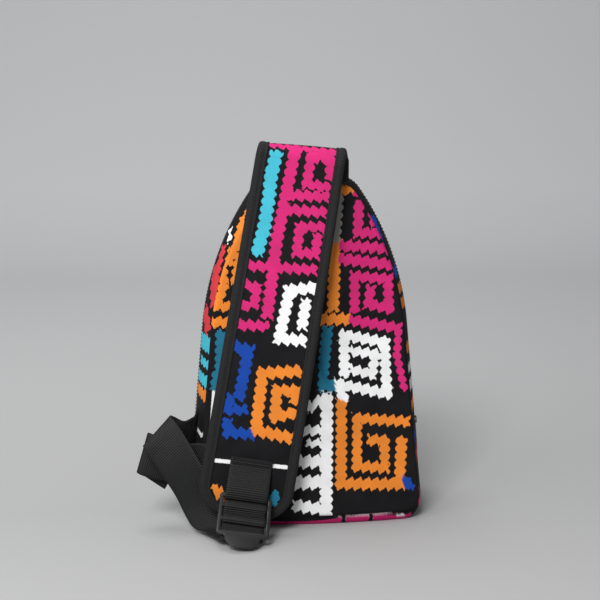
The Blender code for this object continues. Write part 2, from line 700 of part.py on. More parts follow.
def corner_tab_corners():
    """Root on the left side of the gusset, tip where the webbing goes in."""
    lean = Vector((math.sin(SIDE_LEAN), 0.0, math.cos(SIDE_LEAN)))
    back = back_y(CORNER_TAB_HEIGHT, BASE_HALF)
    middle = (back + front_y(CORNER_TAB_HEIGHT)) / 2
    half_depth = (front_y(CORNER_TAB_HEIGHT) - back) / 2
    inset = SEAM_INSET * CORNER_TAB_PLACE ** 2
    low_x, low_z = ring_xz(ZIP_INDEX, inset, 0.0)
    x = -(low_x - (CORNER_TAB_HEIGHT - low_z) * math.tan(SIDE_LEAN))
    x -= CLEARANCE + CORNER_TAB_SEAT * CORNER_TAB_WALL
    root = Vector((x, middle + CORNER_TAB_PLACE * half_depth, CORNER_TAB_HEIGHT))
    first = Vector(LOAD_ROUTE[-1][0]) * MM
    tip = root + (first - root).normalized() * CORNER_TAB_REACH
    way = Vector(LOAD_ROUTE[-1][1]).normalized() * WEBBING_WIDTH / 2
    return root - lean * CORNER_TAB_ROOT / 2, root + lean * CORNER_TAB_ROOT / 2, tip - way, tip + way


def build_corner_tab(collection):
    root_low, root_high, tip_low, tip_high = corner_tab_corners()
    mesh = grid_mesh("corner_tab", [[root_low, root_high], [tip_low, tip_high]])
    thicken(add_object("corner_tab", mesh, FABRIC, collection), CORNER_TAB_WALL, 0.0)


def build_bag():
    clear_scene()
    collection = make_collection("sling_bag")
    cutters = make_collection("cutters")
    build_panels(collection)
    build_gusset(collection)
    build_seam_bindings(collection)
    build_slider(collection, cutters)
    build_puller(collection, cutters)
    build_strap(collection)
    build_binding(collection)
    build_webbing_tab(collection)
    build_buckle(collection)
    build_adjuster(collection)
    build_corner_tab(collection)


build_bag()
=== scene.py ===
"""Cloth, webbing, ladder lock and zip of the printed sling bag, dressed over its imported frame.

Metres, +Z up, with the bag standing on the floor. Print and webbing are laid out in millimetres.
"""

import json
import math

import bmesh
import bpy
import numpy as np
from mathutils import Matrix, Vector, noise


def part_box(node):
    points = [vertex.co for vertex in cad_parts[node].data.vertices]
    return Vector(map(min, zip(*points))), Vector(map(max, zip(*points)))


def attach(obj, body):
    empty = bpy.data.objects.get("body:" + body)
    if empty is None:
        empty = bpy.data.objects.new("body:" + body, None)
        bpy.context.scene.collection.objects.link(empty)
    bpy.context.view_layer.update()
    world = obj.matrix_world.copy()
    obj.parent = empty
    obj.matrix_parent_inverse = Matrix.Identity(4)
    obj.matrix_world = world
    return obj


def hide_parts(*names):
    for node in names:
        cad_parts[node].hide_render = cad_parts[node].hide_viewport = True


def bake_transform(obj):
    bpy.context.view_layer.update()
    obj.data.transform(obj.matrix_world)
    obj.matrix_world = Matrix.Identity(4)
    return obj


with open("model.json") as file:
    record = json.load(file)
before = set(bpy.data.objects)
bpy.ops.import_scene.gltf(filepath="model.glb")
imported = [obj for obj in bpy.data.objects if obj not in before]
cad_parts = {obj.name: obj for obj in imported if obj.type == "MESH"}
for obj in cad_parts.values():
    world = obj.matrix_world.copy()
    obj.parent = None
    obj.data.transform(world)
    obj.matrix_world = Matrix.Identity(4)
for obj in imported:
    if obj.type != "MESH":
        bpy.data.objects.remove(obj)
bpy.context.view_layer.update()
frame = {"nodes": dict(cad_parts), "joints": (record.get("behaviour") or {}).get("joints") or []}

MM = 0.001

# Sizes shared with the bag's source
BODY_HEIGHT = 298 * MM
BASE_HALF = 83 * MM
BASE_CORNER_RADIUS = 20 * MM
SIDE_LEAN = math.radians(5)
SHOULDER_RADIUS = 250 * MM
SHOULDER_END = math.radians(125)
TOP_CORNER_RADIUS = 24 * MM
BASE_BACK = 62 * MM
BASE_FRONT = 45 * MM
BACK_TAPER = 27 * MM
BACK_BOW = 8 * MM
FRONT_TAPER = 32 * MM
SEAM_INSET = 7 * MM
CLOTH_WALL = 3 * MM
PANEL_DOME = 6 * MM
CLEARANCE = 0.3 * MM
ZIP_END_HEIGHT = 60 * MM
ZIP_PLACE = 0.25
ZIP_EDGE = 9.8 * MM
STRAP_WIDTH = 79 * MM
STRAP_FOLD_WIDTH = 73 * MM
STRAP_RISE = 26 * MM
STRAP_END_HEIGHT = 17 * MM
STRAP_FOLD_RADIUS = 9 * MM
STRAP_LEAN = math.radians(9.9)
STRAP_END_RADIUS = 26 * MM
STRAP_FORWARD = ((0.0, 0.0), (0.2, 7.0), (0.45, 16.0), (0.75, 25.0), (1.0, 28.0))
STRAP_REAR_SIDE = -2.5 * MM
STRAP_FRONT_SIDE = -8.5 * MM
STRAP_BACK_SET = 2 * MM
BINDING_THICKNESS = 9 * MM
WEBBING_WIDTH = 35 * MM
WEBBING_WALL = 1.5 * MM
TAB_WALL = 1.2 * MM
TAB_LENGTH = 32 * MM
LOCK_BAR_UP = 19 * MM
LOCK_TILT = math.radians(42)
LOCK_BAR = 4.4 * MM
LOCK_CROSSBAR = 4 * MM
LOCK_CROSSBARS = (9 * MM, 21 * MM)
LOCK_RAIL = 3.2 * MM
LOCK_PLATE = 3 * MM
LOCK_PLATE_TOP = 31 * MM
LOCK_RAIL_END = 35 * MM
LOCK_TIP = 46 * MM
THUMB_HALF_WIDTH = 15 * MM
SLIDER_START = 14 * MM

# The base rolls up to its seams higher than in the source, and from nearer to them
BASE_ROLL = 9 * MM
FLAT_SHARE = 0.86

# Sizes of what is only dressed here
GUSSET_WALL = 2.2 * MM
RIM_TURN = 3.5 * MM
RIM_SCALES = (1.0, 0.9985, 0.996, 0.992, 0.987, 0.98, 0.972)
CREASE_HEIGHT = 8 * MM
CREASE_DEPTH = 1.3 * MM
CREASE_REACH = 1.2 * MM
SEAM_TUCK = 1.0 * MM
STRAP_LAYER_INSET = 1.3 * MM
STRAP_ROOT_DEPTH = 5.2 * MM
PAD_PUFF = 1.1 * MM
BINDING_STITCHES = (7.4 * MM, 4.4 * MM)
TAB_STITCH_SIDE = 16
TAB_STITCH_ROWS = (1.8, 5.2)
STITCH_SIZE = (1.15 * MM, 0.32 * MM, 0.25 * MM)
COIL_PITCH = 1.25 * MM
COIL_OFFSET = 1.35 * MM
COIL_DEPTH = 1.1 * MM
COIL_SIZE = (0.5 * MM, 1.2 * MM, 1.05 * MM)
CORNER_TAB_HEIGHT = 76 * MM
CORNER_TAB_REACH = 9 * MM
CORNER_TAB_HALVES = (22.5 * MM, 17.8 * MM)
THUMB_CURL = 14
PULLER_OUT = 2.9

# Swells of the cloth, as (height, size of the folds, seed)
PANEL_SWELLS = ((0.9 * MM, 0.055, 3), (0.35 * MM, 0.018, 5))
GUSSET_SWELLS = ((0.8 * MM, 0.05, 9),)
STRAP_SWELLS = ((0.35 * MM, 0.03, 21),)

# Sections in millimetres: the binding's upper half as (inward, height), the zip tape's as (aside, depth)
BINDING_LIP = (
    (8.8, 3.6), (8.9, 4.3), (8.4, 4.7), (7.4, 4.7), (6.4, 4.35), (5.4, 4.7), (4.3, 4.9), (3.1, 4.85), (1.9, 4.7),
    (0.9, 4.2), (0.2, 3.0), (-0.15, 1.2),
)
TAPE_SECTION = np.array((
    (0.1, 2.4), (2.75, 2.4), (2.9, 1.0), (5.8, 1.0), (8.7, 1.0), (8.95, 2.5), (10.9, 2.6),
    (10.9, 3.1), (8.5, 3.1), (8.3, 2.0), (3.2, 2.0), (3.1, 2.9), (0.1, 2.9),
))

CAMERA_PLACE = (-0.100, -1.10, 0.35)
CAMERA_TURN = math.radians(5.0)
CAMERA_TILT = math.radians(8.4)
CAMERA_LENS = 75.84

# Outline stations, counted from the middle of the base to the middle of the top
CORNER_START, SIDE_START, ZIP_START, SHOULDER_START = 2, 7, 9, 13
TOP_START, TOP_FLAT, TOP_MIDDLE = 20, 23, 24
RING = 2 * TOP_MIDDLE
ZIP_TRIM = 0.02
COIL_TRIM = 0.05

# The print: strokes as (ink, half width, corners), in millimetres on the cut cloth. Their level edges
# are stepped and their upright ones scalloped, but for strokes up to PLAIN_STROKE
INKS = {
    "orange": (240, 138, 48),
    "magenta": (214, 40, 118),
    "white": (250, 250, 250),
    "grey": (150, 146, 140),
    "teal": (32, 118, 148),
    "cyan": (70, 190, 212),
    "blue": (18, 70, 166),
    "red": (214, 58, 68),
    "brown": (150, 84, 30),
}
PLAIN_STROKE = 2.2
STEP_PITCH = 7.4
STEP_RISE = 3.4
STEP_SLANT = 0.8
SCALLOP_PITCH = 6.7
SCALLOP_DEPTH = 2.1
EDGE_BLUR = 0.28
FAR = 99.0


def bare_spot(x, z):
    """Spot where the black ground shows through the print."""
    return "ground", 1.0, ((x, z), (x, z + 1))


BACK_PRINT = (
    ("orange", 4.5, ((27, 286), (38, 288))),
    ("magenta", 3.2, ((41, 285), (47, 278))),
    ("grey", 3.3, ((26, 278), (23, 242))),
    ("orange", 4.9, ((22, 239), (20, 189))),
    ("orange", 4.5, ((7, 178), (31, 177))),
    ("magenta", 4.0, ((43, 273), (42, 250), (64, 249))),
    ("magenta", 3.2, ((54, 269), (56, 258))),
    ("magenta", 4.4, ((29, 239), (68, 236))),
    ("magenta", 4.4, ((28, 228), (72, 222))),
    ("magenta", 4.0, ((39, 186), (39, 213), (68, 210), (69, 185), (51, 189), (53, 201))),
    ("magenta", 4.0, ((36, 176), (76, 168))),
    ("magenta", 2.8, ((77, 163), (76, 144), (82, 117))),
    ("teal", 4.5, ((15, 167), (11, 122), (19, 120))),
    ("white", 4.2, ((30, 131), (30, 163), (65, 156), (67, 112), (25, 121), (29, 109))),
    ("white", 3.8, ((39, 149), (57, 146), (54, 129), (38, 133))),
    ("white", 5.0, ((14, 110), (13, 12))),
    ("white", 3.8, ((10, 111), (-1, 104))),
    ("white", 3.8, ((-5, 84), (8, 84))),
    ("white", 2.9, ((-1, 73), (8, 73))),
    ("white", 5.0, ((-6, 57), (8, 57))),
    ("white", 5.4, ((-9, 39), (7, 39))),
    ("white", 4.6, ((-11, 19), (7, 16))),
    ("orange", 4.5, ((27, 105), (26, 37), (78, 33), (80, 69))),
    ("orange", 4.0, ((83, 87), (41, 91), (40, 51), (65, 48), (65, 71), (54, 72))),
    ("blue", 3.7, ((82, 36), (87, 31))),
    ("orange", 3.3, ((-52, 281), (-55, 265))),
    ("orange", 3.7, ((-57, 258), (-61, 240), (-68, 226))),
    ("orange", 3.7, ((-73, 226), (-72, 206), (-78, 189), (-69, 188))),
    ("orange", 2.5, ((-60, 231), (-63, 210))),
    ("orange", 4.1, ((-84, 175), (-69, 175))),
    ("teal", 3.9, ((-75, 164), (-76, 137))),
    ("teal", 3.0, ((-79, 132), (-81, 120))),
    ("white", 1.8, ((-81, 115), (-83, 89))),
    *(bare_spot(x, z) for x, z in ((40, 233), (45, 233), (51, 232), (57, 231), (63, 230))),
)
STRAP_PRINT = (
    ("magenta", 2.6, ((-27, 37), (-6, 38), (33, 37))),
    ("cyan", 5.0, ((-21, 47), (-22, 64), (-21, 82), (-21, 104), (-23, 124))),
    ("magenta", 4.6, ((-6, 39), (-7, 63), (-8, 90), (-9, 114), (-8, 143), (-7, 174))),
    ("magenta", 3.8, ((26, 54), (24, 41), (8, 42), (8, 64), (24, 64))),
    ("magenta", 4.0, ((-1, 75), (24, 72))),
    ("magenta", 4.0, ((-1, 87), (24, 85))),
    ("magenta", 3.8, ((26, 97), (8, 100), (9, 121), (24, 120), (24, 107))),
    ("magenta", 3.8, ((-28, 138), (24, 133))),
    ("magenta", 3.6, ((-26, 154), (-19, 155), (-19, 168), (-28, 172))),
    ("magenta", 3.8, ((-26, 187), (-8, 185))),
    ("white", 4.4, ((26, 148), (8, 153), (6, 193), (24, 192))),
    ("white", 4.2, ((23, 162), (23, 179))),
    ("blue", 4.6, ((-26, 206), (-18, 207), (-18, 225), (-19, 244))),
    ("blue", 3.7, ((-26, 249), (-27, 258), (-14, 256))),
    ("blue", 4.2, ((-25, 269), (-23, 276), (-6, 275))),
    ("orange", 4.5, ((24, 218), (-3, 224), (-1, 271), (26, 273))),
    ("orange", 4.2, ((27, 241), (27, 234), (11, 236), (13, 258), (26, 253))),
    ("white", 1.6, ((-31, 301), (29, 298))),
    ("orange", 3.7, ((-25, 325), (-19, 331))),
    ("teal", 3.6, ((24, 323), (24, 330))),
    *(bare_spot(x, z) for x, z in ((5, 81), (13, 80), (20, 79), (-4, 82))),
)


def hook(ink, half, x, z, reach, turn=1):
    """Squared spiral of the print, opening to the right, or to the left where turn is -1."""
    corners = ((1, 0.9), (-1, 1), (-1, -1), (0.85, -0.95), (0.9, 0.25), (-0.15, 0.3), (-0.1, -0.3))
    return ink, half, tuple((x + turn * reach * a, z + reach * b) for a, b in corners)


FRONT_PRINT = (
    hook("magenta", 4.6, 0, 236, 26),
    hook("orange", 4.6, 48, 196, 24, -1),
    hook("white", 4.4, -46, 186, 24),
    hook("teal", 4.4, 0, 140, 22, -1),
    hook("orange", 4.8, -56, 110, 26),
    hook("magenta", 4.6, 52, 108, 26, -1),
    hook("blue", 4.4, 0, 74, 20),
    hook("white", 4.6, -48, 38, 26, -1),
    hook("orange", 4.6, 48, 34, 26),
    ("cyan", 4.4, ((-10, 30), (8, 28), (6, 8))),
    ("red", 4.4, ((-30, 268), (-12, 272))),
    ("magenta", 4.4, ((84, 70), (86, 20))),
)
# On the gusset the first number runs along the outline from the middle of the base, left side negative
GUSSET_PRINT = (
    ("magenta", 2.2, ((-62, -54), (-30, -56), (25, -57.3))),
    ("magenta", 2.2, ((33, -56.8), (49, -55.8))),
    ("magenta", 2.2, ((57, -54.6), (76, -51), (91, -48))),
    ("teal", 1.6, ((-30, -50), (40, -50))),
    ("white", 0.6, ((20, -60.6), (46, -59.2), (66, -56.6), (82, -52.8))),
    ("white", 1.8, ((-176, -47), (-175, -20))),
    ("magenta", 4.2, ((113, -44), (121, -40))),
    ("white", 1.2, ((118, -49), (142, -47))),
    ("red", 4.0, ((150, -44), (156, -26))),
    ("blue", 4.2, ((168, -42), (172, -20))),
    ("orange", 4.0, ((196, -42), (198, -24))),
    ("white", 4.4, ((214, -44), (214, -22))),
    ("white", 3.6, ((228, -42), (228, -18))),
    ("orange", 4.4, ((244, -44), (246, -20))),
    ("orange", 4.4, ((262, -42), (284, -38), (284, -18))),
    ("orange", 4.0, ((296, -40), (298, -20))),
    ("blue", 4.4, ((310, -40), (314, -20))),
    ("blue", 4.0, ((344, -34), (362, -28))),
    ("brown", 1.0, ((-162, -47), (-206, -45))),
    ("white", 1.6, ((-208, -45), (-266, -42))),
    ("orange", 4.4, ((-208, -38), (-209, -18))),
    ("cyan", 4.6, ((-220, -38), (-221, -14))),
    ("cyan", 3.2, ((-234, -36), (-235, -22))),
    ("cyan", 6.4, ((-250, -38), (-251, -16))),
    ("red", 6.8, ((-266, -27), (-274, -20))),
    ("red", 7.4, ((-292, -33), (-312, -22))),
    ("red", 4.6, ((-314, -26), (-332, -22))),
    ("orange", 4.6, ((-300, -43), (-334, -36))),
    ("white", 2.6, ((-344, -26), (-350, -20))),
    ("orange", 5.2, ((-352, -36), (-362, -33))),
    ("orange", 4.6, ((-374, -33), (-392, -30))),
    hook("teal", 4.2, -150, 2, 20),
    hook("orange", 4.2, 150, 12, 18, -1),
    hook("magenta", 4.2, 24, 12, 20),
    hook("white", 4.2, -46, 14, 18),
    ("blue", 4.4, ((-90, 30), (-90, -8), (-74, -8))),
    ("orange", 4.4, ((92, 30), (92, -8), (76, -8))),
    ("magenta", 4.4, ((206, 36), (240, 34))),
    ("teal", 4.4, ((262, 32), (300, 28))),
    ("white", 4.4, ((-210, 36), (-246, 34))),
    ("orange", 4.4, ((-270, 32), (-312, 26))),
)

# Route of the adjuster webbing outside the ladder lock: place, the way its width points, and how far it
# goes along when the lock's bar moves from LOCK_HOME. Its fold lies a little lower than in the source
LOCK_HOME = (-56, -91, 36)
TAIL_ROUTE = (
    ((-115.5, -45.5, 46.5), (0.5, 0.0, 0.87), 0.0),
    ((-138.5, -47.6, 63), (0.31, 0.2, 0.93), 0.0),
    ((-142, -49.4, 65), (0.28, 0.22, 0.93), 0.0),
    ((-139, -51.2, 63.5), (0.31, 0.2, 0.93), 0.0),
    ((-118, -52.3, 57), (0.4, 0.0, 0.92), 0.0),
    ((-96, -56, 57), (0.45, 0.05, 0.88), 0.0),
    ((-78, -60.5, 46), (0.6, 0.1, 0.78), 0.0),
    ((-68, -64.5, 29), (0.8, 0.1, 0.55), 0.3),
    ((-62, -72, 13.2), (0.97, 0.05, 0.1), 0.7),
    ((-60, -84, 11.2), (0.985, 0.0, -0.04), 1.0),
    ((-59, -91, 15.2), (0.986, 0.0, -0.12), 1.0),
)
LOAD_ROUTE = (
    ((-63, -107, 6.2), (0.985, 0.0, -0.05), 1.0),
    ((-68, -95, 6), (0.98, -0.05, 0.0), 1.0),
    ((-75, -86, 6.5), (0.96, -0.15, 0.06), 0.7),
    ((-83, -76, 10), (0.91, -0.12, 0.22), 0.3),
    ((-91, -70, 22), (0.8, -0.12, 0.46), 0.0),
    ((-103, -68, 44), (0.7, -0.2, 0.68), 0.0),
    ((-121, -62, 73), (0.7, 0.1, 0.66), 0.0),
    ((-128, -58, 83), (0.7, 0.33, 0.63), 0.0),
    ((-129.5, -53.5, 84.5), (0.66, 0.38, 0.65), 0.0),
    ((-124, -46, 79.5), (0.5, 0.32, 0.8), 0.0),
    ((-112, -38, 72), (0.32, 0.15, 0.93), 0.0),
)


# Finishes

def linear(colour):
    """Light in each channel of a colour written in 0 to 255."""
    shares = [c / 255 for c in colour]
    return tuple(s / 12.92 if s <= 0.04045 else ((s + 0.055) / 1.055) ** 2.4 for s in shares)


class Finish:
    """A material being put together from nodes."""

    def __init__(self, name, roughness, gloss=0.5, metallic=0.0):
        self.material = bpy.data.materials.new(name)
        self.material.use_nodes = True
        self.tree = self.material.node_tree
        self.shader = self.tree.nodes["Principled BSDF"]
        self.shader.inputs["Roughness"].default_value = roughness
        self.shader.inputs["Specular IOR Level"].default_value = gloss
        self.shader.inputs["Metallic"].default_value = metallic

    def join(self, socket, value):
        if isinstance(value, bpy.types.NodeSocket):
            self.tree.links.new(value, socket)
        else:
            socket.default_value = value

    def node(self, kind, inputs=(), **settings):
        made = self.tree.nodes.new(kind)
        for key, value in settings.items():
            setattr(made, key, value)
        for key, value in dict(inputs).items():
            self.join(made.inputs[key], value)
        return made

    def sum(self, operation, *values):
        made = self.tree.nodes.new("ShaderNodeMath")
        made.operation = operation
        for socket, value in zip(made.inputs, values):
            self.join(socket, value)
        return made.outputs[0]

    def wave(self, place, pitch):
        """Sine of a place, with one turn to a pitch."""
        return self.sum("SINE", self.sum("MULTIPLY", place, 2 * math.pi / pitch))

    def range(self, value, low, high, to_low=0.0, to_high=1.0):
        made = self.node("ShaderNodeMapRange", {"Value": value, "From Min": low, "From Max": high,
                                                "To Min": to_low, "To Max": to_high})
        return made.outputs["Result"]

    def mix(self, share, first, second):
        made = self.node("ShaderNodeMix", {0: share}, data_type="RGBA")
        for socket, colour in zip(made.inputs[6:8], (first, second)):
            self.join(socket, colour if isinstance(colour, bpy.types.NodeSocket) else (*colour, 1.0))
        return made.outputs[2]

    def attribute(self, name, output):
        return self.node("ShaderNodeAttribute", attribute_name=name).outputs[output]

    def place(self):
        """Place on the object, in millimetres."""
        where = self.node("ShaderNodeTexCoord").outputs["Object"]
        return self.node("ShaderNodeVectorMath", {0: where, 1: (1 / MM,) * 3}, operation="MULTIPLY").outputs[0]

    def parts(self, vector):
        return self.node("ShaderNodeSeparateXYZ", {0: vector}).outputs

    def speckle(self, where, size, detail=2.0):
        made = self.node("ShaderNodeTexNoise", {"Vector": where, "Scale": 1.0 / size, "Detail": detail})
        return made.outputs["Fac"]

    def close(self, colour, height, depth):
        """Puts the colour and the relief, with its depth in metres, on the shader."""
        self.join(self.shader.inputs["Base Color"], colour)
        bump = self.node("ShaderNodeBump", {"Height": height, "Distance": depth, "Strength": 1.0})
        self.join(self.shader.inputs["Normal"], bump.outputs[0])
        return self.material


def crossing_threads(finish, along, across, pitch):
    """Relief of plain weave from two places on the cloth, 0 between the threads and 1 on them."""
    crossed = finish.sum("MULTIPLY", finish.wave(along, pitch), finish.wave(across, pitch))
    return finish.sum("MULTIPLY_ADD", crossed, 0.5, 0.5)


def printed_cloth():
    """Black plain weave with the print's strokes on it, scalloped up their sides and stepped along them."""
    finish = Finish("printed_cloth", 0.75, gloss=0.16)
    cut = finish.attribute("cut", "Vector")
    across, up, _ = finish.parts(cut)
    lean = finish.attribute("lean", "Fac")
    slant = finish.sum("MULTIPLY_ADD", finish.wave(across, STEP_PITCH), STEP_SLANT,
                       finish.sum("MULTIPLY", across, 2 * math.pi / STEP_PITCH))
    stepped = finish.sum("MULTIPLY", finish.sum("MULTIPLY", lean, finish.sum("SINE", slant)), STEP_RISE / 2)
    bump = finish.sum("ABSOLUTE", finish.wave(up, 2 * SCALLOP_PITCH))
    scallop = finish.sum("MULTIPLY_ADD", bump, -SCALLOP_DEPTH, 0.6 * SCALLOP_DEPTH)
    upright = finish.sum("SUBTRACT", 1.0, finish.sum("ABSOLUTE", lean))
    teeth = finish.sum("MULTIPLY_ADD", scallop, upright, stepped)
    ragged = finish.sum("SUBTRACT", finish.speckle(cut, 1.6), 0.5)
    toothed = finish.attribute("toothed", "Fac")
    edge = finish.sum("MULTIPLY_ADD", teeth, toothed, finish.attribute("edge", "Fac"))
    inked = finish.range(finish.sum("ADD", edge, ragged), EDGE_BLUR, -EDGE_BLUR)
    threads = crossing_threads(finish, across, up, 1.1)
    faded = finish.speckle(cut, 18.0)
    wear = finish.range(faded, 0.35, 0.75, 0.0, 0.16)
    ink = finish.mix(wear, finish.attribute("ink", "Color"), (0.02, 0.015, 0.012))
    ground = finish.mix(finish.range(faded, 0.3, 0.7), (0.0042, 0.0041, 0.005), (0.0078, 0.0076, 0.0088))
    # Painted shade: the cloth is darkened by up to a fifth in the gaps between the threads
    shade = finish.range(threads, 0.0, 1.0, 0.2, 0.0)
    colour = finish.mix(shade, finish.mix(inked, ground, ink), (0.0, 0.0, 0.0))
    return finish.close(colour, finish.sum("MULTIPLY_ADD", inked, 0.25, threads), 0.00012)


def plain_cloth(name, dark, pale, pitch=1.4, roughness=0.85):
    finish = Finish(name, roughness, gloss=0.15)
    where = finish.place()
    across, _, up = finish.parts(where)
    threads = crossing_threads(finish, across, up, pitch)
    # Painted shade: darker between the threads and paler on them, with a random tone from the noise on top
    share = finish.sum("MULTIPLY", threads, finish.range(finish.speckle(where, 9.0), 0.2, 0.8, 0.5, 1.0))
    return finish.close(finish.mix(share, dark, pale), threads, 0.00015)


def ribbed_tape(name, dark, pale, pitch, depth, roughness=0.7):
    """Tape or webbing whose ribs run across it, laid out on the piece's own run attribute."""
    finish = Finish(name, roughness, gloss=0.3)
    run = finish.attribute("run", "Vector")
    along, across, _ = finish.parts(run)
    worn = finish.speckle(run, 3.0)
    sway = finish.sum("MULTIPLY_ADD", worn, 0.25, along)
    rib = finish.sum("MULTIPLY_ADD", finish.wave(sway, pitch), 0.5, 0.5)
    strand = finish.sum("ABSOLUTE", finish.wave(across, 2.6))
    height = finish.sum("MULTIPLY_ADD", strand, 0.3, rib)
    # Painted shade: paler on the ribs and darker in the grooves between them, with a random tone from the worn
    # speckle
    share = finish.sum("MULTIPLY", finish.sum("MULTIPLY", rib, 0.8), finish.range(worn, 0.25, 0.75, 0.45, 1.2))
    return finish.close(finish.mix(share, dark, pale), height, depth)


def moulded_plastic():
    finish = Finish("moulded_plastic", 0.42, gloss=0.4)
    cloudy = finish.range(finish.speckle(finish.place(), 12.0), 0.3, 0.7)
    colour = finish.mix(cloudy, (0.0075, 0.0075, 0.008), (0.0125, 0.0125, 0.0135))
    return finish.close(colour, finish.speckle(finish.place(), 0.5), 0.00003)


def nylon_coil():
    finish = Finish("nylon_coil", 0.42)
    colour = finish.mix(finish.speckle(finish.place(), 2.0), (0.008, 0.008, 0.009), (0.02, 0.02, 0.022))
    return finish.close(colour, finish.speckle(finish.place(), 0.4), 0.00002)


def zip_metal():
    finish = Finish("zip_metal", 0.34, metallic=0.85)
    scuffs = finish.speckle(finish.place(), 1.5, 6.0)
    colour = finish.mix(finish.range(scuffs, 0.4, 0.7), (0.09, 0.09, 0.095), (0.2, 0.2, 0.21))
    return finish.close(colour, scuffs, 0.00003)


PRINTED = printed_cloth()
LINING = plain_cloth("lining_mesh", (0.004, 0.004, 0.005), (0.02, 0.02, 0.022))
BINDING = ribbed_tape("binding_tape", (0.004, 0.004, 0.0045), (0.016, 0.016, 0.0175), 1.7, 0.0001, 0.8)
WEBBING = ribbed_tape("webbing", (0.0022, 0.0022, 0.0026), (0.0125, 0.0125, 0.0135), 1.8, 0.0003, 0.6)
ZIP_TAPE = ribbed_tape("zip_tape", (0.006, 0.006, 0.007), (0.02, 0.02, 0.021), 0.9, 0.0001)
COIL = nylon_coil()
PLASTIC = moulded_plastic()
METAL = zip_metal()
THREAD = plain_cloth("sewing_thread", (0.006, 0.006, 0.007), (0.022, 0.022, 0.024), 0.5, 0.6)


# Meshes

def add(name, data):
    item = bpy.data.objects.new(name, data)
    bpy.context.scene.collection.objects.link(item)
    return item


def loft(name, loops, finish):
    """Closed body through closed loops of points, with its two ends filled."""
    loops = np.asarray(loops, float)
    count, width = loops.shape[:2]
    low = np.arange(count - 1)[:, None] * width + np.arange(width)
    high = low + width
    faces = np.stack((low, high, np.roll(high, -1, 1), np.roll(low, -1, 1)), -1).reshape(-1, 4).tolist()
    faces += [list(range(width)), list(range((count - 1) * width, count * width))]
    mesh = bpy.data.meshes.new("draft")
    mesh.from_pydata(loops.reshape(-1, 3).tolist(), [], faces)
    return dress(name, [mesh], finish)


def dress(name, meshes, finish):
    """Makes one piece of closed meshes, with its faces pointing outwards."""
    bm = bmesh.new()
    for mesh in meshes:
        bm.from_mesh(mesh)
    bmesh.ops.recalc_face_normals(bm, faces=bm.faces)
    mesh = bpy.data.meshes.new(name)
    bm.to_mesh(mesh)
    bm.free()
    mesh.materials.append(finish)
    mesh.polygons.foreach_set("use_smooth", [True] * len(mesh.polygons))
    return add(name, mesh)


def made_mesh(holder):
    """Mesh that an object's curve or modifiers make; the object itself goes."""
    bpy.context.view_layer.update()
    mesh = bpy.data.meshes.new_from_object(holder.evaluated_get(bpy.context.evaluated_depsgraph_get()))
    bpy.data.objects.remove(holder)
    return mesh


def flat_moulding(lines, thick, bevel, rounds):
    """Flat plate with rounded edges, from its outline and those of its holes."""
    curve = bpy.data.curves.new("moulding", "CURVE")
    curve.dimensions = "2D"
    curve.fill_mode = "BOTH"
    curve.bevel_depth = bevel
    curve.bevel_resolution = rounds
    curve.extrude = thick / 2 - bevel
    for line in lines:
        spline = curve.splines.new("POLY")
        spline.points.add(len(line) - 1)
        for point, (x, y) in zip(spline.points, line):
            point.co = (x, y, 0.0, 1.0)
        spline.use_cyclic_u = True
    mesh = made_mesh(add("moulding_outline", curve))
    bm = bmesh.new()
    bm.from_mesh(mesh)
    bmesh.ops.remove_doubles(bm, verts=bm.verts, dist=0.01 * MM)
    bm.to_mesh(mesh)
    bm.free()
    return mesh


def lengths_along(line):
    """Length from a line's first point to each of its points."""
    return np.concatenate(((0.0,), np.cumsum(np.linalg.norm(np.diff(line, axis=0), axis=1))))


def unit(vectors):
    return vectors / (np.linalg.norm(vectors, axis=-1, keepdims=True) + 1e-12)


def line_at(places, lengths, line):
    """Points of a line at places counted along it."""
    return np.stack([np.interp(places, lengths, line[:, k]) for k in range(3)], -1)


def write(item, name, kind, values):
    field = {"FLOAT": "value", "FLOAT_VECTOR": "vector", "FLOAT_COLOR": "color"}[kind]
    attribute = item.data.attributes.new(name, kind, "POINT")
    attribute.data.foreach_set(field, np.asarray(values, np.float32).ravel())


def lay_print(item, cut, strokes):
    """Writes on each point how far it is from the nearest stroke's edge, which edge that is and its ink."""
    cut = np.asarray(cut, float).reshape(-1, 2)
    nearest = np.full(len(cut), FAR)
    bare = np.full(len(cut), FAR)
    lean = np.zeros(len(cut))
    toothed = np.ones(len(cut))
    inks = np.ones((len(cut), 4))
    for ink, half, corners in strokes:
        for start, end in zip(corners, corners[1:]):
            run = np.subtract(end, start)
            length = np.hypot(*run)
            way = run / length
            away = cut - np.add(start, end) / 2
            ahead = away @ way
            aside = away @ np.array((-way[1], way[0]))
            over = np.abs(ahead) - length / 2 - half
            wide = np.abs(aside) - half
            gap = np.maximum(over, wide)
            if ink == "ground":
                bare = np.minimum(bare, gap)
                continue
            upward = np.where(over > wide, way[1] * np.sign(ahead), way[0] * np.sign(aside))
            closer = gap < nearest
            nearest[closer] = gap[closer]
            lean[closer] = np.where(np.abs(upward) > 0.6, np.sign(upward), 0.0)[closer]
            toothed[closer] = half > PLAIN_STROKE
            inks[closer, :3] = linear(INKS[ink])
    for name, values in (("edge", np.maximum(nearest, -bare)), ("toothed", toothed), ("lean", lean)):
        write(item, name, "FLOAT", values)
    write(item, "ink", "FLOAT_COLOR", inks)
    write(item, "cut", "FLOAT_VECTOR", np.column_stack((cut, np.zeros(len(cut)))))


def folds(points, size, seed):
    """Soft uneven swell of cloth, about -1 to 1, with folds of the given size in metres."""
    offset = Vector((seed * 7.3, seed * 3.1, seed * 5.7))
    heights = [noise.noise(Vector(p) / size + offset) for p in points.reshape(-1, 3)]
    return np.array(heights).reshape(points.shape[:-1])


def swelling(points, swells, shift=0):
    return sum(height * folds(points, size, seed + shift) for height, size, seed in swells)


# Body

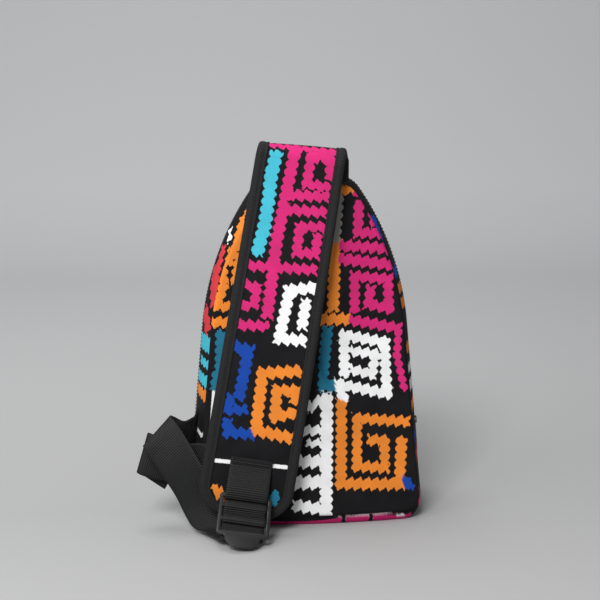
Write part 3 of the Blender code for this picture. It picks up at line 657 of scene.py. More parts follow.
def side_length():
    lean = math.pi / 2 + SIDE_LEAN
    corner = BASE_CORNER_RADIUS * (1 - math.cos(lean))
    shoulder = SHOULDER_RADIUS * (math.cos(lean) - math.cos(SHOULDER_END))
    top = TOP_CORNER_RADIUS * (1 + math.cos(SHOULDER_END))
    return (BODY_HEIGHT - corner - shoulder - top) / math.sin(lean)


def half_outline(station, inset, lift):
    """(x, z) on the right half of the outline, at stations that need not be whole."""
    lean = math.pi / 2 + SIDE_LEAN

    def part(start, end):
        return np.clip((station - start) / (end - start), 0.0, 1.0)

    x = BASE_HALF * part(0, CORNER_START)
    z = lift + 0.0 * x
    straight = side_length() + (inset - lift) / math.sin(lean)
    to_zip = ZIP_END_HEIGHT - BASE_CORNER_RADIUS
    along = to_zip * part(SIDE_START, ZIP_START) + (straight - to_zip) * part(ZIP_START, SHOULDER_START)
    x = x + along * math.cos(lean)
    z = z + along * math.sin(lean)
    for radius, start, end, first, last in (
        (BASE_CORNER_RADIUS, 0.0, lean, CORNER_START, SIDE_START),
        (SHOULDER_RADIUS, lean, SHOULDER_END, SHOULDER_START, TOP_START),
        (TOP_CORNER_RADIUS, SHOULDER_END, math.pi, TOP_START, TOP_FLAT),
    ):
        angle = start + (end - start) * part(first, last)
        x = x + (radius - inset) * (np.sin(angle) - math.sin(start))
        z = z + (radius - inset) * (math.cos(start) - np.cos(angle))
    return x * (1 - part(TOP_FLAT, TOP_MIDDLE)), z


def back_y(z, x=0.0):
    """Back of the bag, which bows out a little in the middle."""
    return -BASE_BACK + BACK_TAPER * z / BODY_HEIGHT + BACK_BOW * (x / BASE_HALF) ** 2


def front_y(z):
    return BASE_FRONT - FRONT_TAPER * z / BODY_HEIGHT


def on_shell(station, share, shift=0.0, deeper=0.0):
    """Points of the gusset: share -1 is the back seam, 1 the front seam; shift moves them along Y."""
    station, share = np.broadcast_arrays(np.mod(station, RING), share)
    left = station > TOP_MIDDLE
    half = np.where(left, RING - station, station)
    x, z = half_outline(half, 0.0, 0.0)
    middle = (back_y(z, x) + front_y(z)) / 2
    half_depth = (front_y(z) - back_y(z, x)) / 2
    y = middle + share * half_depth + shift
    place = (y - middle) / half_depth
    lift = BASE_ROLL * np.clip((np.abs(place) - FLAT_SHARE) / (1 - FLAT_SHARE), 0.0, None) ** 2
    x, z = half_outline(half, SEAM_INSET * place ** 2 + deeper, lift + deeper)
    return np.stack((np.where(left, -x, x), y, z), -1)


def even_stations(start, end, spacing):
    """Stations from start to end at an even spacing along the outline, with their lengths from the base."""
    fine = np.arange(start, end + 0.005, 0.01)
    length = lengths_along(on_shell(fine, 0.0))
    even = np.linspace(0.0, length[-1], int(round(length[-1] / spacing)) + 1)
    return np.interp(even, length, fine), even


def panel(name, side, strokes, spacing=1.5 * MM):
    """Front or back of the bag: a soft pillow whose rim rolls in to the seam."""
    stations = even_stations(0, RING, spacing)[0][:-1]
    rim = on_shell(stations, float(side))
    middle = np.array((0.0, 0.0, BODY_HEIGHT / 2))
    reach = np.linalg.norm((rim - middle)[:, (0, 2)], axis=1)[:, None]
    loops = [panel_loop(rim, middle, scale, side, 0.0) for scale in (0.02, 0.35, 0.7, 0.94)]
    for scale in (*RIM_SCALES, *np.linspace(0.962, 0.015, 62)):
        loop = panel_loop(rim, middle, scale, side, CLOTH_WALL)
        inward = np.clip((1 - scale) * reach[:, 0] / RIM_TURN, 0.0, 1.0)
        rolled = np.sqrt(1 - (1 - inward) ** 2)
        swell = swelling(loop, PANEL_SWELLS, side)
        if side < 0:
            swell -= CREASE_DEPTH * np.exp(-((loop[:, 2] - CREASE_HEIGHT) / CREASE_REACH) ** 2)
        loop[:, 1] += side * ((rolled - 1) * CLOTH_WALL + swell * inward)
        loops.append(loop)
    loops = np.array(loops)
    item = loft(name, loops, PRINTED)
    lay_print(item, loops[..., (0, 2)] / MM * (-side, 1), strokes)
    return item


def panel_loop(rim, middle, scale, side, wall):
    loop = middle + (rim - middle) * scale
    plane = back_y(loop[:, 2], rim[:, 0]) if side < 0 else front_y(loop[:, 2])
    loop[:, 1] = plane + side * (CLEARANCE + wall + PANEL_DOME * (1 - scale * scale) ** 2)
    return loop


def gusset(name, start, end, rows, wall, spacing=1.6 * MM):
    """Strip of the gusset between two stations; rows are (share, shift) from back to front."""
    stations, _ = even_stations(start, end, spacing)
    lengths = np.interp(np.mod(stations, RING), *whole_ring())
    shares, shifts = np.transpose(rows)
    outer = on_shell(stations[:, None], shares, shifts)
    inner = on_shell(stations[:, None], shares, shifts, wall)
    edge = np.minimum(np.arange(len(rows)), np.arange(len(rows))[::-1]) / 2
    swell = swelling(outer, GUSSET_SWELLS) * np.clip(edge / 4, 0, 1)
    tuck = SEAM_TUCK * np.clip(1 - edge / 2, 0, 1) ** 2
    outer = outer + unit(outer - inner) * (swell - tuck)[..., None]
    loops = np.concatenate((outer, inner[:, ::-1]), 1)
    item = loft(name, loops, PRINTED)
    along = np.broadcast_to(lengths[:, None], loops.shape[:2])
    lay_print(item, np.stack((along, loops[..., 1]), -1) / MM, GUSSET_PRINT)
    return item


def whole_ring():
    """Stations round the whole outline and their lengths, the left side's counted back from the base."""
    fine = np.arange(0, RING + 0.005, 0.05)
    length = lengths_along(on_shell(fine, 0.0))
    return fine, np.where(fine > TOP_MIDDLE, length - length[-1], length)


# Strap

def soften(values, reach):
    """Rounds the bends of a line of evenly spaced values, keeping its ends."""
    before = 2 * values[0] - values[reach:0:-1]
    after = 2 * values[-1] - values[-2:-reach - 2:-1]
    padded = np.concatenate((before, values, after))
    window = np.hanning(2 * reach + 3)[1:-1]
    return np.convolve(padded, window / window.sum(), "valid")


def strap_path():
    """Lengths, places, widthwise ways and normals along the strap's middle, from the bag's top to its end."""
    centre_z = BODY_HEIGHT + STRAP_RISE - BINDING_THICKNESS / 2 - STRAP_FOLD_RADIUS
    front_length = (centre_z - STRAP_END_HEIGHT) / math.cos(STRAP_LEAN)
    rear_y = back_y(BODY_HEIGHT) - STRAP_BACK_SET
    foot_z = BODY_HEIGHT - STRAP_ROOT_DEPTH
    places, turns = [], []
    for share in np.linspace(0, 1, 20, endpoint=False):
        places.append((STRAP_REAR_SIDE, rear_y, foot_z + (centre_z - foot_z) * share))
        turns.append(0.0)
    for share in np.linspace(0, 1, 33):
        angle = math.pi * share
        x = STRAP_REAR_SIDE + (STRAP_FRONT_SIDE - STRAP_REAR_SIDE) * share
        places.append((x, rear_y - STRAP_FOLD_RADIUS * (1 - math.cos(angle)),
                       centre_z + STRAP_FOLD_RADIUS * math.sin(angle)))
        turns.append(share)
    top = np.array(places[-1])
    shares = np.linspace(0, 1, 201)
    forward = soften(np.interp(shares, *zip(*STRAP_FORWARD)), 24) * MM
    for share, ahead in list(zip(shares, forward))[1:]:
        down = share * front_length
        places.append(top + (-down * math.sin(STRAP_LEAN), -ahead, -down * math.cos(STRAP_LEAN)))
        turns.append(1.0)
    places = np.array(places)
    tilt = STRAP_LEAN * np.array(turns)
    across = np.stack((np.cos(tilt), 0 * tilt, -np.sin(tilt)), -1)
    along = np.gradient(places, axis=0)
    along = unit(along - across * (along * across).sum(-1, keepdims=True))
    return lengths_along(places), places, across, np.cross(along, across)


STRAP = strap_path()
STRAP_LENGTH = STRAP[0][-1]


def on_strap(along, side, height):
    """Places on the strap: along its length, to the side of its middle, above its middle surface."""
    along, side, height = np.broadcast_arrays(along, side, height)
    place, across, normal = (line_at(along, STRAP[0], part) for part in STRAP[1:])
    return place + across * side[..., None] + normal * height[..., None]


def strap_half_width(along, inset):
    """Half of the strap's width less an inset, rounded off at its lower end."""
    radius = STRAP_END_RADIUS - inset
    straight_end = STRAP_LENGTH - STRAP_END_RADIUS
    into = np.clip(along - straight_end, 0.0, radius)
    half = np.interp(along, (0.0, straight_end), (STRAP_FOLD_WIDTH / 2, STRAP_WIDTH / 2))
    return half - inset - radius + np.sqrt(radius ** 2 - into ** 2)


def strap_layer(name, finish, low, high, puff):
    """Layer of the strap between two heights, with a puffed upper face."""
    last = STRAP_LENGTH - STRAP_LAYER_INSET
    near_end = last - 3 * MM * np.array((0.9, 0.6, 0.3, 0.1, 0.02))
    stops = np.concatenate((np.arange(0.0, last - 3 * MM, 1.3 * MM), near_end))
    share = np.linspace(-1, 1, 47)
    side = strap_half_width(stops, STRAP_LAYER_INSET)[:, None] * share
    crown = puff * (1 - share ** 4) * np.clip((STRAP_LENGTH - stops) / (30 * MM), 0, 1)[:, None]
    flat = on_strap(stops[:, None], side, high)
    ripple = swelling(flat, STRAP_SWELLS) * (1 - share ** 2)
    upper = on_strap(stops[:, None], side, high + crown + ripple * (puff > 0))
    lower = on_strap(stops[:, None], side, low)[:, ::-1]
    item = loft(name, np.concatenate((upper, lower), 1), finish)
    cut = np.stack((side, np.broadcast_to(stops[:, None], side.shape)), -1) / MM
    return item, np.concatenate((cut, cut[:, ::-1]), 1)


def strap_edge(spacing=1.4 * MM):
    """Along, side and outward way of points down the strap's left edge, round its end and up its right."""
    straight_end = STRAP_LENGTH - STRAP_END_RADIUS
    corner = STRAP_WIDTH / 2 - STRAP_END_RADIUS
    down = np.arange(0.0, straight_end, spacing)
    angle = np.linspace(0, math.pi / 2, 28)
    straight = np.stack((down, -strap_half_width(down, 0.0), 0 * down, 0 * down - 1))
    round_off = np.stack((np.sin(angle), -np.cos(angle)))
    centre = np.array(((straight_end,), (-corner,)))
    bend = np.concatenate((centre + STRAP_END_RADIUS * round_off, round_off))
    left = np.concatenate((straight, bend), 1)
    cross = np.arange(-corner, corner, spacing)[1:]
    end = np.stack((0 * cross + STRAP_LENGTH, cross, 0 * cross + 1, 0 * cross))
    right = left[:, ::-1] * np.array((1, -1, 1, -1))[:, None]
    return np.concatenate((left, end, right), 1)


def beside_edge(edge, inward, height):
    along, side, out_along, out_side = edge
    return on_strap(np.clip(along - inward * out_along, 0, None), side - inward * out_side, height)


def strap_binding():
    """Tape folded over the strap's edge, with a shallow groove along each of its faces."""
    section = [*BINDING_LIP, *((a, -h) for a, h in reversed(BINDING_LIP)), (1.0, -3.5), (1.0, 3.5)]
    edge = strap_edge()
    loops = np.stack([beside_edge(edge, a * MM, h * MM) for a, h in section], 1)
    item = loft("strap_binding_tape", loops, BINDING)
    write_run(item, lengths_along(loops.mean(1)) / MM, np.array(section)[:, 0])
    return item


def write_run(item, run, reach):
    run, reach = np.broadcast_arrays(run[:, None], reach)
    write(item, "run", "FLOAT_VECTOR", np.stack((run, reach, 0 * run), -1))


# Webbing and ladder lock

def between(t, start, end, first, last):
    """Value on the way from first to last as t goes from start to end."""
    return first + (last - first) * (t - start) / (end - start)


def smooth_route(points, spacing):
    """Even points on a curve that passes through every given point and keeps to tight corners."""
    points = np.asarray(points, float)
    before, after = 2 * points[0] - points[1], 2 * points[-1] - points[-2]
    line = np.vstack((before, points, after))
    roots = np.sqrt(np.diff(lengths_along(line[:, :3])) + 1e-9)
    knots = np.concatenate(((0.0,), np.cumsum(roots)))
    found = []
    for k in range(1, len(line) - 2):
        t0, t1, t2, t3 = knots[k - 1:k + 3]
        p0, p1, p2, p3 = line[k - 1:k + 3]
        steps = max(2, int(np.linalg.norm((p2 - p1)[:3]) / spacing))
        for t in np.linspace(t1, t2, steps, endpoint=False):
            a1, a2, a3 = between(t, t0, t1, p0, p1), between(t, t1, t2, p1, p2), between(t, t2, t3, p2, p3)
            b1, b2 = between(t, t0, t2, a1, a2), between(t, t1, t3, a2, a3)
            found.append(between(t, t1, t2, b1, b2))
    found.append(line[-2])
    return np.array(found)


def webbing(name, middles, ways, width, wall, spacing=1.0 * MM):
    """Woven ribbon along a route, with rounded selvedges and evenly laid ribs."""
    route = smooth_route(np.hstack((middles, ways)), spacing)
    middle, way = route[:, :3], unit(route[:, 3:])
    normal = unit(np.cross(unit(np.gradient(middle, axis=0)), way))
    half = width / 2
    across = np.concatenate((np.linspace(-1, 1, 15) * (half - 0.8 * MM), (half, half)))
    height = np.concatenate((np.ones(15), (0.45, -0.45))) * wall / 2
    side = np.concatenate((across, -across))
    up = np.concatenate((height, -height))
    loops = middle[:, None] + way[:, None] * side[:, None] + normal[:, None] * up[:, None]
    item = loft(name, loops, WEBBING)
    write_run(item, lengths_along(middle) / MM, side / MM)
    return item


LOCK_BAR_ALONG = STRAP_LENGTH - LOCK_BAR_UP
LOOP_RADIUS = math.hypot(LOCK_BAR / 2, LOCK_PLATE / 2) + CLEARANCE
LOCK_BAR_HEIGHT = BINDING_THICKNESS / 2 + CLEARANCE + TAB_WALL + LOOP_RADIUS
LOCK_ACROSS = Vector((math.cos(STRAP_LEAN), 0.0, -math.sin(STRAP_LEAN)))


def lock_matrix():
    """Frame of the ladder lock: X across it, Y towards the strap, Z up along it, from its top bar."""
    place = frame_joint("lock_tilt")
    flat = Vector((-math.sin(STRAP_LEAN), 0.0, -math.cos(STRAP_LEAN)))
    up = -(flat * math.cos(LOCK_TILT) + Vector((0.0, -1.0, 0.0)) * math.sin(LOCK_TILT))
    turn = Matrix((LOCK_ACROSS, up.cross(LOCK_ACROSS), up)).transposed().to_4x4()
    return Matrix.Translation(place) @ turn


def frame_joint(name):
    return Vector(next(joint["pos_m"] for joint in frame["joints"] if joint["name"] == name))


def in_lock(down, outward):
    return lock_matrix() @ Vector((0.0, -outward, -down))


def lock_route():
    """(down, outward) of the webbing's middle where it passes behind, over and back through the lock."""
    over = LOCK_PLATE / 2 + CLEARANCE + WEBBING_WALL / 2
    first, second = LOCK_CROSSBARS
    half = LOCK_CROSSBAR / 2
    beside = 1.1 * (CLEARANCE + WEBBING_WALL / 2)
    corner = beside * 0.8
    face = LOCK_PLATE / 2

    def roll(bar):
        aside, raised = 0.7 * half, over + 0.8 * MM
        return (bar - aside, raised), (bar, over + 1.2 * MM), (bar + aside, raised)

    return (
        (first + half, -1.7 * over), (first - half, -1.25 * over),
        (first - half - beside, -0.5 * over), (first - half - beside, face),
        (first - half - corner, face + corner), *roll(first), ((first + second) / 2, -0.1 * over), *roll(second),
        (second + half + corner, face + corner), (second + half + beside, face),
        (second + half + beside, -0.4 * over), (LOCK_PLATE_TOP - beside, -over),
        (LOCK_PLATE_TOP + MM, -1.4 * over), (LOCK_PLATE_TOP + 5 * MM, -1.8 * over),
    )


def adjuster():
    """One length of webbing: the tail with its fold, through the lock, and on to the corner tab."""
    moved = lock_matrix().translation - Vector(LOCK_HOME) * MM

    def laid(route):
        return [(Vector(place) * MM + moved * share, Vector(way).normalized()) for place, way, share in route]

    stops = laid(TAIL_ROUTE)
    stops += [(in_lock(down, outward), LOCK_ACROSS) for down, outward in lock_route()]
    stops += laid(LOAD_ROUTE)
    root, tip = corner_tab_line()
    stops.append((tip + (tip - root).normalized() * CLEARANCE, Vector(LOAD_ROUTE[-1][1]).normalized()))
    middles = [middle for middle, _ in stops]
    ways = [way * MM * 10 for _, way in stops]
    return webbing("adjuster", middles, ways, WEBBING_WIDTH, WEBBING_WALL)


def lock_tab():
    """Webbing tab sewn on the strap: out over the lock's top bar and back under it."""
    loop = LOOP_RADIUS + TAB_WALL / 2
    face = BINDING_THICKNESS / 2 - 0.4 * MM
    lower = face + 0.5 * TAB_WALL
    upper = face + 1.5 * TAB_WALL + CLEARANCE
    sewn = LOCK_BAR_ALONG - TAB_LENGTH
    loose = sewn + 8 * MM
    bend = LOCK_BAR_ALONG - 2.2 * loop
    path = [(sewn, upper), (loose, upper), (bend, LOCK_BAR_HEIGHT + loop * 0.95)]
    for angle in np.linspace(0, math.pi, 9):
        path.append((LOCK_BAR_ALONG + loop * math.sin(angle), LOCK_BAR_HEIGHT + loop * math.cos(angle)))
    path += [(bend, LOCK_BAR_HEIGHT - loop), (loose, lower), (sewn, lower)]
    middles = [on_strap(a, 0.0, n) for a, n in path]
    ways = [LOCK_ACROSS * MM * 10] * len(path)
    return webbing("lock_tab_webbing", middles, ways, WEBBING_WIDTH, TAB_WALL, 0.7 * MM)


def corner_tab_line():
    """Middle of the corner tab at its root on the gusset and at its tip."""
    _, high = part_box("corner_tab")
    first = Vector(LOAD_ROUTE[-1][0]) * MM
    root = Vector((high.x - 1.2 * MM, high.y - 1.0 * MM, CORNER_TAB_HEIGHT))
    return root, root + (first - root).normalized() * CORNER_TAB_REACH


def corner_tab():
    """Folded printed cloth that holds the webbing's far end at the bag's lower corner."""
    root, tip = corner_tab_line()
    root_way = Vector((math.sin(SIDE_LEAN), 0.0, math.cos(SIDE_LEAN)))
    tip_way = Vector(LOAD_ROUTE[-1][1]).normalized()
    loops, cuts = [], []
    for share in np.linspace(0, 1, 9):
        middle = root.lerp(tip, share)
        way = root_way.lerp(tip_way, share).normalized()
        half = between(share, 0, 1, *CORNER_TAB_HALVES)
        normal = (tip - root).normalized().cross(way).normalized()
        puff = (1.1 + 0.5 * math.sin(math.pi * share)) * MM
        angles = np.linspace(0, 2 * math.pi, 44, endpoint=False)
        squared = [(bent(math.cos(a), 0.25), math.sin(a)) for a in angles]
        loops.append([middle + way * half * c + normal * puff * s for c, s in squared])
        cuts.append([(share * CORNER_TAB_REACH / MM, half * c / MM) for c, _ in squared])
    item = loft("corner_tab_cloth", loops, PRINTED)
    lay_print(item, cuts, (("white", 1.8, ((-2, 4), (12, 3))),))
    return item


def ladder_lock():
    """Moulded lock: two rails, a top bar, two crossbars and a thumb plate that curls a little outwards."""
    bevel = 0.9 * MM
    inner = WEBBING_WIDTH / 2 + MM
    outer = inner + LOCK_RAIL
    bar = LOCK_BAR / 2
    right = [(outer - bar, bar), (outer - bar / 3, bar * 0.7), (outer, 0.0)]
    right += [(outer, -LOCK_RAIL_END + 3 * MM), (outer - 0.6 * MM, -LOCK_RAIL_END + MM)]
    right += [(outer - 2 * MM, -LOCK_RAIL_END)]
    right += [(THUMB_HALF_WIDTH + 1.5 * MM, -LOCK_RAIL_END - 0.2 * MM)]
    drop = LOCK_TIP - LOCK_RAIL_END
    for angle in np.linspace(0.12, math.pi / 2, 12, endpoint=False):
        right.append((THUMB_HALF_WIDTH * math.cos(angle) ** 0.7, -LOCK_RAIL_END - drop * math.sin(angle)))
    outline = right + [(0.0, -LOCK_TIP)] + [(-x, y) for x, y in reversed(right)]
    edges = [-bar]
    for place in LOCK_CROSSBARS:
        edges += [-place + LOCK_CROSSBAR / 2, -place - LOCK_CROSSBAR / 2]
    edges.append(-LOCK_PLATE_TOP)
    lines = [shrunk(outline, bevel)]
    for top, low in zip(edges[::2], edges[1::2]):
        lines.append(shrunk(((-inner, top), (inner, top), (inner, low), (-inner, low)), -bevel))
    mesh = flat_moulding(lines, LOCK_PLATE, bevel, 3)
    mesh.transform(Matrix.Rotation(math.pi / 2, 4, "X"))
    for vertex in mesh.vertices:
        below = max(0.0, -vertex.co.z - LOCK_PLATE_TOP)
        vertex.co.y -= THUMB_CURL * below * below
    mesh.transform(lock_matrix())
    return dress("ladder_lock_moulding", [mesh], PLASTIC)


def shrunk(line, step):
    """Outline drawn in by a step towards its middle, to leave room for a bevel."""
    middle_x, middle_y = np.mean(line, 0)
    return [(x - np.sign(x - middle_x) * step if abs(x) > abs(step) else x, y - np.sign(y - middle_y) * step)
            for x, y in line]


# Repeated small parts

def repeat_tree(name, rings):
    """Tree that sets a small ball on every point, along and outward as the points' attributes say."""
    tree = bpy.data.node_groups.new(name, "GeometryNodeTree")
    for socket, kind in (("Geometry", "Geometry"), ("Size", "Vector"), ("Finish", "Material")):
        tree.interface.new_socket(socket, in_out="INPUT", socket_type="NodeSocket" + kind)
    tree.interface.new_socket("Geometry", in_out="OUTPUT", socket_type="NodeSocketGeometry")
    nodes, links = tree.nodes, tree.links
    enter, leave = nodes.new("NodeGroupInput"), nodes.new("NodeGroupOutput")
    part = nodes.new("GeometryNodeMeshUVSphere")
    for key, value in (("Segments", 8), ("Rings", rings), ("Radius", 1.0)):
        part.inputs[key].default_value = value
    points = nodes.new("GeometryNodeMeshToPoints")
    turned = None
    for axis, attribute in (("X", "along"), ("Z", "outward")):
        field = nodes.new("GeometryNodeInputNamedAttribute")
        field.data_type = "FLOAT_VECTOR"
        field.inputs["Name"].default_value = attribute
        align = nodes.new("FunctionNodeAlignRotationToVector")
        align.axis = axis
        align.pivot_axis = "AUTO" if turned is None else "X"
        links.new(field.outputs["Attribute"], align.inputs["Vector"])
        if turned is not None:
            links.new(turned, align.inputs["Rotation"])
        turned = align.outputs["Rotation"]
    place = nodes.new("GeometryNodeInstanceOnPoints")
    real = nodes.new("GeometryNodeRealizeInstances")
    smooth = nodes.new("GeometryNodeSetShadeSmooth")
    coat = nodes.new("GeometryNodeSetMaterial")
    for giver, given, taker, taken in (
        (enter, "Geometry", points, "Mesh"),
        (points, "Points", place, "Points"),
        (part, "Mesh", place, "Instance"),
        (enter, "Size", place, "Scale"),
        (place, "Instances", real, "Geometry"),
        (real, "Geometry", smooth, "Geometry"),
        (smooth, "Geometry", coat, "Geometry"),
        (enter, "Finish", coat, "Material"),
        (coat, "Geometry", leave, "Geometry"),
    ):
        links.new(giver.outputs[given], taker.inputs[taken])
    links.new(turned, place.inputs["Rotation"])
    return tree


STITCH_TREE = repeat_tree("stitch_row", 5)
TOOTH_TREE = repeat_tree("coil_row", 6)


def repeat(name, tree, points, along, outward, size, finish):
    """Runs a tree over points and returns the plain mesh piece."""
    mesh = bpy.data.meshes.new(name)
    mesh.from_pydata(np.asarray(points).tolist(), [], [])
    holder = add(name + "_points", mesh)
    write(holder, "along", "FLOAT_VECTOR", along)
    write(holder, "outward", "FLOAT_VECTOR", outward)
    step = holder.modifiers.new("repeat", "NODES")
    step.node_group = tree
    sockets = {s.name: s.identifier for s in tree.interface.items_tree if s.in_out == "INPUT"}
    step[sockets["Size"]] = size
    step[sockets["Finish"]] = finish
    return add(name, made_mesh(holder))


def spaced(line, normals, pitch):
    """Points at an even pitch on a line of points, with the line's way and its normal at each."""
    line, normals = np.asarray(line), np.asarray(normals)
    length = lengths_along(line)
    even = np.arange(pitch / 2, length[-1], pitch)
    before, after = (line_at(even + step, length, line) for step in (-pitch / 4, pitch / 4))
    return line_at(even, length, line), after - before, line_at(even, length, normals)


def stitch_rows(name, rows, pitch=3.2 * MM):
    """Rows of lockstitch, each row a line of points with its normals."""
    parts = [spaced(line, normals, pitch) for line, normals in rows]
    points, ways, ups = (np.concatenate(columns) for columns in zip(*parts))
    return repeat(name, STITCH_TREE, points, ways, ups, STITCH_SIZE, THREAD)


def strap_stitches():
    edge = strap_edge()
    inward, height = BINDING_STITCHES
    rows = []
    for face in (1, -1):
        line = beside_edge(edge, inward, face * height)
        rows.append((line, beside_edge(edge, inward, face * (height + MM)) - line))
    return stitch_rows("strap_binding_stitches", rows)


def tab_stitches():
    sewn = LOCK_BAR_ALONG - TAB_LENGTH
    top = BINDING_THICKNESS / 2 - 0.4 * MM + 2 * TAB_WALL + CLEARANCE
    side = np.linspace(-TAB_STITCH_SIDE, TAB_STITCH_SIDE, 40)
    along = np.linspace(*TAB_STITCH_ROWS, 8)
    places = [(row, side) for row in TAB_STITCH_ROWS] + [(along, -TAB_STITCH_SIDE), (along, TAB_STITCH_SIDE)]
    rows = []
    for up, across in places:
        line = on_strap(sewn + up * MM, across * MM, top)
        rows.append((line, on_strap(sewn + up * MM, across * MM, top + MM) - line))
    return stitch_rows("lock_tab_stitches", rows, 2.4 * MM)


def shell_line(share, shift, lift, start=ZIP_START, end=RING - ZIP_START):
    stations, _ = even_stations(start, end, 2 * MM)
    line = on_shell(stations, share, shift, -lift)
    return line, line - on_shell(stations, share, shift, -lift + MM)


def zip_stitches():
    beside = ZIP_EDGE + 2.2 * MM
    return stitch_rows("zip_stitches", [shell_line(ZIP_PLACE, side * beside, 0.1 * MM) for side in (-1, 1)])


def zip_tape(name, side):
    """Woven tape on one side of the zip, which steps down under its coil and under the cloth it is sewn to."""
    start = ZIP_START + ZIP_TRIM
    stations, lengths = even_stations(start, RING - start, 2 * MM)
    loops = [on_shell(stations, ZIP_PLACE, side * off * MM, depth * MM) for off, depth in TAPE_SECTION]
    item = loft(name, np.stack(loops, 1), ZIP_TAPE)
    write_run(item, lengths / MM, TAPE_SECTION[:, 0])
    return item


def zip_coil(name, side):
    """Row of nylon loops that meets the other row in the middle of the zip."""
    start = ZIP_START + COIL_TRIM
    line, ups = shell_line(ZIP_PLACE, side * COIL_OFFSET, -COIL_DEPTH, start, RING - start)
    return repeat(name, TOOTH_TREE, *spaced(line, ups, COIL_PITCH), COIL_SIZE, COIL)


def slider_matrix():
    start, end = (Vector(on_shell(station, ZIP_PLACE)) for station in (ZIP_START, ZIP_START + 4))
    up = (end - start).normalized()
    outward = Vector((math.cos(SIDE_LEAN), 0.0, math.sin(SIDE_LEAN)))
    across = up.cross(outward).normalized()
    turn = Matrix((across.cross(up), across, up)).transposed().to_4x4()
    return Matrix.Translation(start + up * SLIDER_START) @ turn


def bent(value, power):
    """Value raised to a power with its sign kept."""
    return math.copysign(abs(value) ** power, value)


def oval(half_width, half_length, centre=0.0, power=0.5, count=32):
    turns = [(math.cos(a), math.sin(a)) for a in np.linspace(0, 2 * math.pi, count, endpoint=False)]
    return [(half_width * bent(c, power), centre + half_length * bent(s, power)) for c, s in turns]


def plate(lines, thick, bevel, out, up=0.0):
    """Plate in millimetres that lies across the X axis of the slider's frame."""
    mesh = flat_moulding([np.array(line) * MM for line in lines], thick * MM, bevel * MM, 2)
    mesh.transform(Matrix(((0, 0, 1, out * MM), (1, 0, 0, 0), (0, 1, 0, up * MM), (0, 0, 0, 1))))
    mesh.transform(slider_matrix())
    return mesh


def zip_slider():
    """Slider body with an arched bridge that carries the puller."""
    body = plate([oval(3.2, 5.1)], 1.3, 0.3, 0.95)
    bridge = plate([oval(1.0, 3.0, power=0.6)], 0.9, 0.3, 4.8)
    posts = [plate([oval(0.9, 0.9, power=0.7, count=12)], 3.4, 0.2, 3.2, end) for end in (-2.4, 2.4)]
    return dress("zip_slider_metal", [body, bridge, *posts], METAL)


def zip_puller():
    """Long flat puller with a slot at its top and an eye at its foot."""
    outline = oval(4.3, 14.6, -14.3, 0.45, 48)
    slot = oval(1.9, 2.3, -3.1, 0.4, 16)
    eye = oval(2.6, 1.6, -25.0, 0.6, 16)
    return dress("zip_puller_metal", [plate([outline, slot, eye], 1.3, 0.35, PULLER_OUT)], METAL)


# Putting the bag together

def gusset_rows(side):
    """Rows from the zip to one seam, as (share, shift)."""
    rows = [(ZIP_PLACE + (side - ZIP_PLACE) * t, (1 - t) * side * ZIP_EDGE) for t in np.linspace(0, 1, 24)]
    return rows[::-1] if side < 0 else rows


def place(item, slot, *nodes, body="bag"):
    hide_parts(*nodes)
    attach(item, body)


def build_body():
    for word, side, strokes in (("back", -1, BACK_PRINT), ("front", 1, FRONT_PRINT)):
        item = panel(word + "_panel_cloth", side, strokes)
        place(item, "printed_cloth", word + "_panel")
        start = ZIP_START + ZIP_TRIM
        strip = gusset("zip_gusset_cloth_" + word, start, RING - start, gusset_rows(side), GUSSET_WALL)
        place(strip, "printed_cloth", "zip_gusset_" + word)
        tape = zip_tape("zip_tape_woven_" + word, side)
        place(tape, "zip_tape", "zip_tape_" + word)
        coil = zip_coil("zip_coil_loops_" + word, side)
        place(coil, "zip_coil", "zip_coil_" + word)
    rows = [(share, 0.0) for share in np.linspace(-1, 1, 56)]
    lower = gusset("side_gusset_cloth", -ZIP_START, ZIP_START, rows, CLOTH_WALL)
    place(lower, "printed_cloth", "side_gusset")
    seams = zip_stitches()
    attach(seams, "bag")
    for word in ("back", "front"):
        node = frame["nodes"]["seam_binding_" + word]
        node.data.materials.clear()
        node.data.materials.append(LINING)


def build_strap():
    pad, cut = strap_layer("strap_pad_cloth", PRINTED, -2.0 * MM, 3.2 * MM, PAD_PUFF)
    lay_print(pad, cut, STRAP_PRINT)
    place(pad, "printed_cloth", "strap_pad")
    lining, _ = strap_layer("strap_lining_cloth", LINING, -3.3 * MM, -2.3 * MM, 0.0)
    place(lining, "lining_mesh", "strap_lining")
    place(strap_binding(), "binding_tape", "strap_binding")
    for item in (strap_stitches(), tab_stitches()):
        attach(item, "bag")
    place(lock_tab(), "webbing", "webbing_tab")


def build_adjuster():
    band = adjuster()
    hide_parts("adjuster_webbing")
    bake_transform(band)
    place(ladder_lock(), "moulded_plastic", "ladder_lock", body="ladder_lock")
    place(corner_tab(), "printed_cloth", "corner_tab")


def build_zip_fittings():
    place(zip_slider(), "zip_metal", "zip_slider", body="zip_slider")
    place(zip_puller(), "zip_metal", "zip_puller", body="zip_puller")


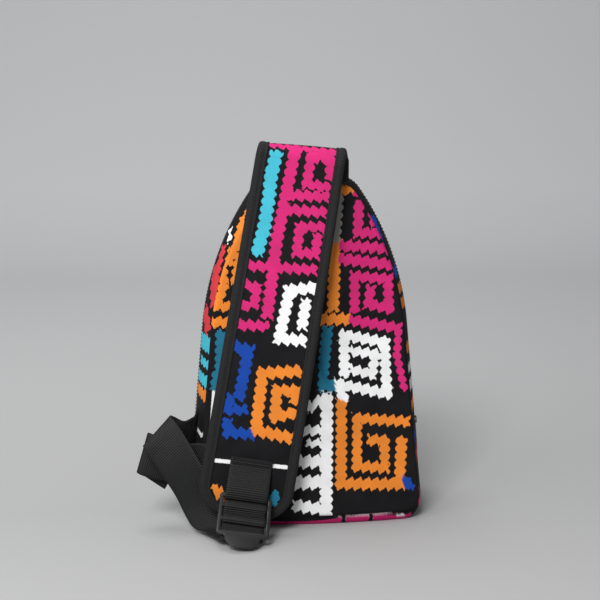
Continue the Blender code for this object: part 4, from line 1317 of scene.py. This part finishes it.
def studio():
    """Floor that sweeps up into a backdrop, three soft lamps and the camera."""
    finish = Finish("studio_sweep", 0.9)
    where = finish.place()
    # Painted light: the sweep is darker on the floor under the bag and paler towards the backdrop, which less
    # lamp light reaches
    shade = finish.mix(finish.range(finish.parts(where)[1], 0.0, 2200.0), (0.385,) * 3, (0.92,) * 3)
    finish.close(shade, finish.speckle(where, 3.0), 0.00001)
    start, radius = 1.6, 1.2
    bend = np.linspace(0.1, math.pi / 2, 16)
    profile = [(-2.2, 0.0), (start, 0.0)]
    profile += [(start + radius * math.sin(a), radius - radius * math.cos(a)) for a in bend]
    profile.append((start + radius, 3.6))
    rows = [[(x, y, z) for x in (-3.0, 3.0)] for y, z in profile]
    mesh = bpy.data.meshes.new("studio_sweep")
    faces = [(2 * k, 2 * k + 1, 2 * k + 3, 2 * k + 2) for k in range(len(rows) - 1)]
    mesh.from_pydata([p for row in rows for p in row], [], faces)
    mesh.materials.append(finish.material)
    mesh.polygons.foreach_set("use_smooth", [True] * len(faces))
    sweep = add("studio_sweep", mesh)
    for name, spot, aim, size, power in (
        ("key", (-0.5, -1.35, 1.2), (0.0, 0.0, 0.12), 0.5, 26.5),
        ("fill", (-1.0, -0.9, 1.1), (0.0, 0.0, 0.12), 0.9, 7.0),
        ("top", (-0.3, 0.2, 1.9), (0.0, 0.0, 0.1), 1.0, 14.0),
    ):
        lamp = bpy.data.lights.new(name, "AREA")
        lamp.size = size
        lamp.energy = power
        item = add(name, lamp)
        item.location = spot
        item.rotation_euler = (Vector(aim) - Vector(spot)).to_track_quat("-Z", "Y").to_euler()
    world = bpy.data.worlds.new("studio")
    world.use_nodes = True
    glow = world.node_tree.nodes["Background"].inputs
    glow["Color"].default_value = (0.8, 0.82, 0.85, 1.0)
    glow["Strength"].default_value = 0.3
    bpy.context.scene.world = world
    camera = bpy.data.cameras.new("photo_camera")
    camera.sensor_width = 36.0
    camera.lens = CAMERA_LENS
    item = add("photo_camera", camera)
    level = math.cos(CAMERA_TILT)
    look = Vector((math.sin(CAMERA_TURN) * level, math.cos(CAMERA_TURN) * level, -math.sin(CAMERA_TILT)))
    item.location = CAMERA_PLACE
    item.rotation_euler = look.to_track_quat("-Z", "Y").to_euler()
    bpy.context.scene.camera = item


build_body()
build_strap()
build_adjuster()
build_zip_fittings()
studio()
bpy.context.scene.view_settings.view_transform = "Standard"
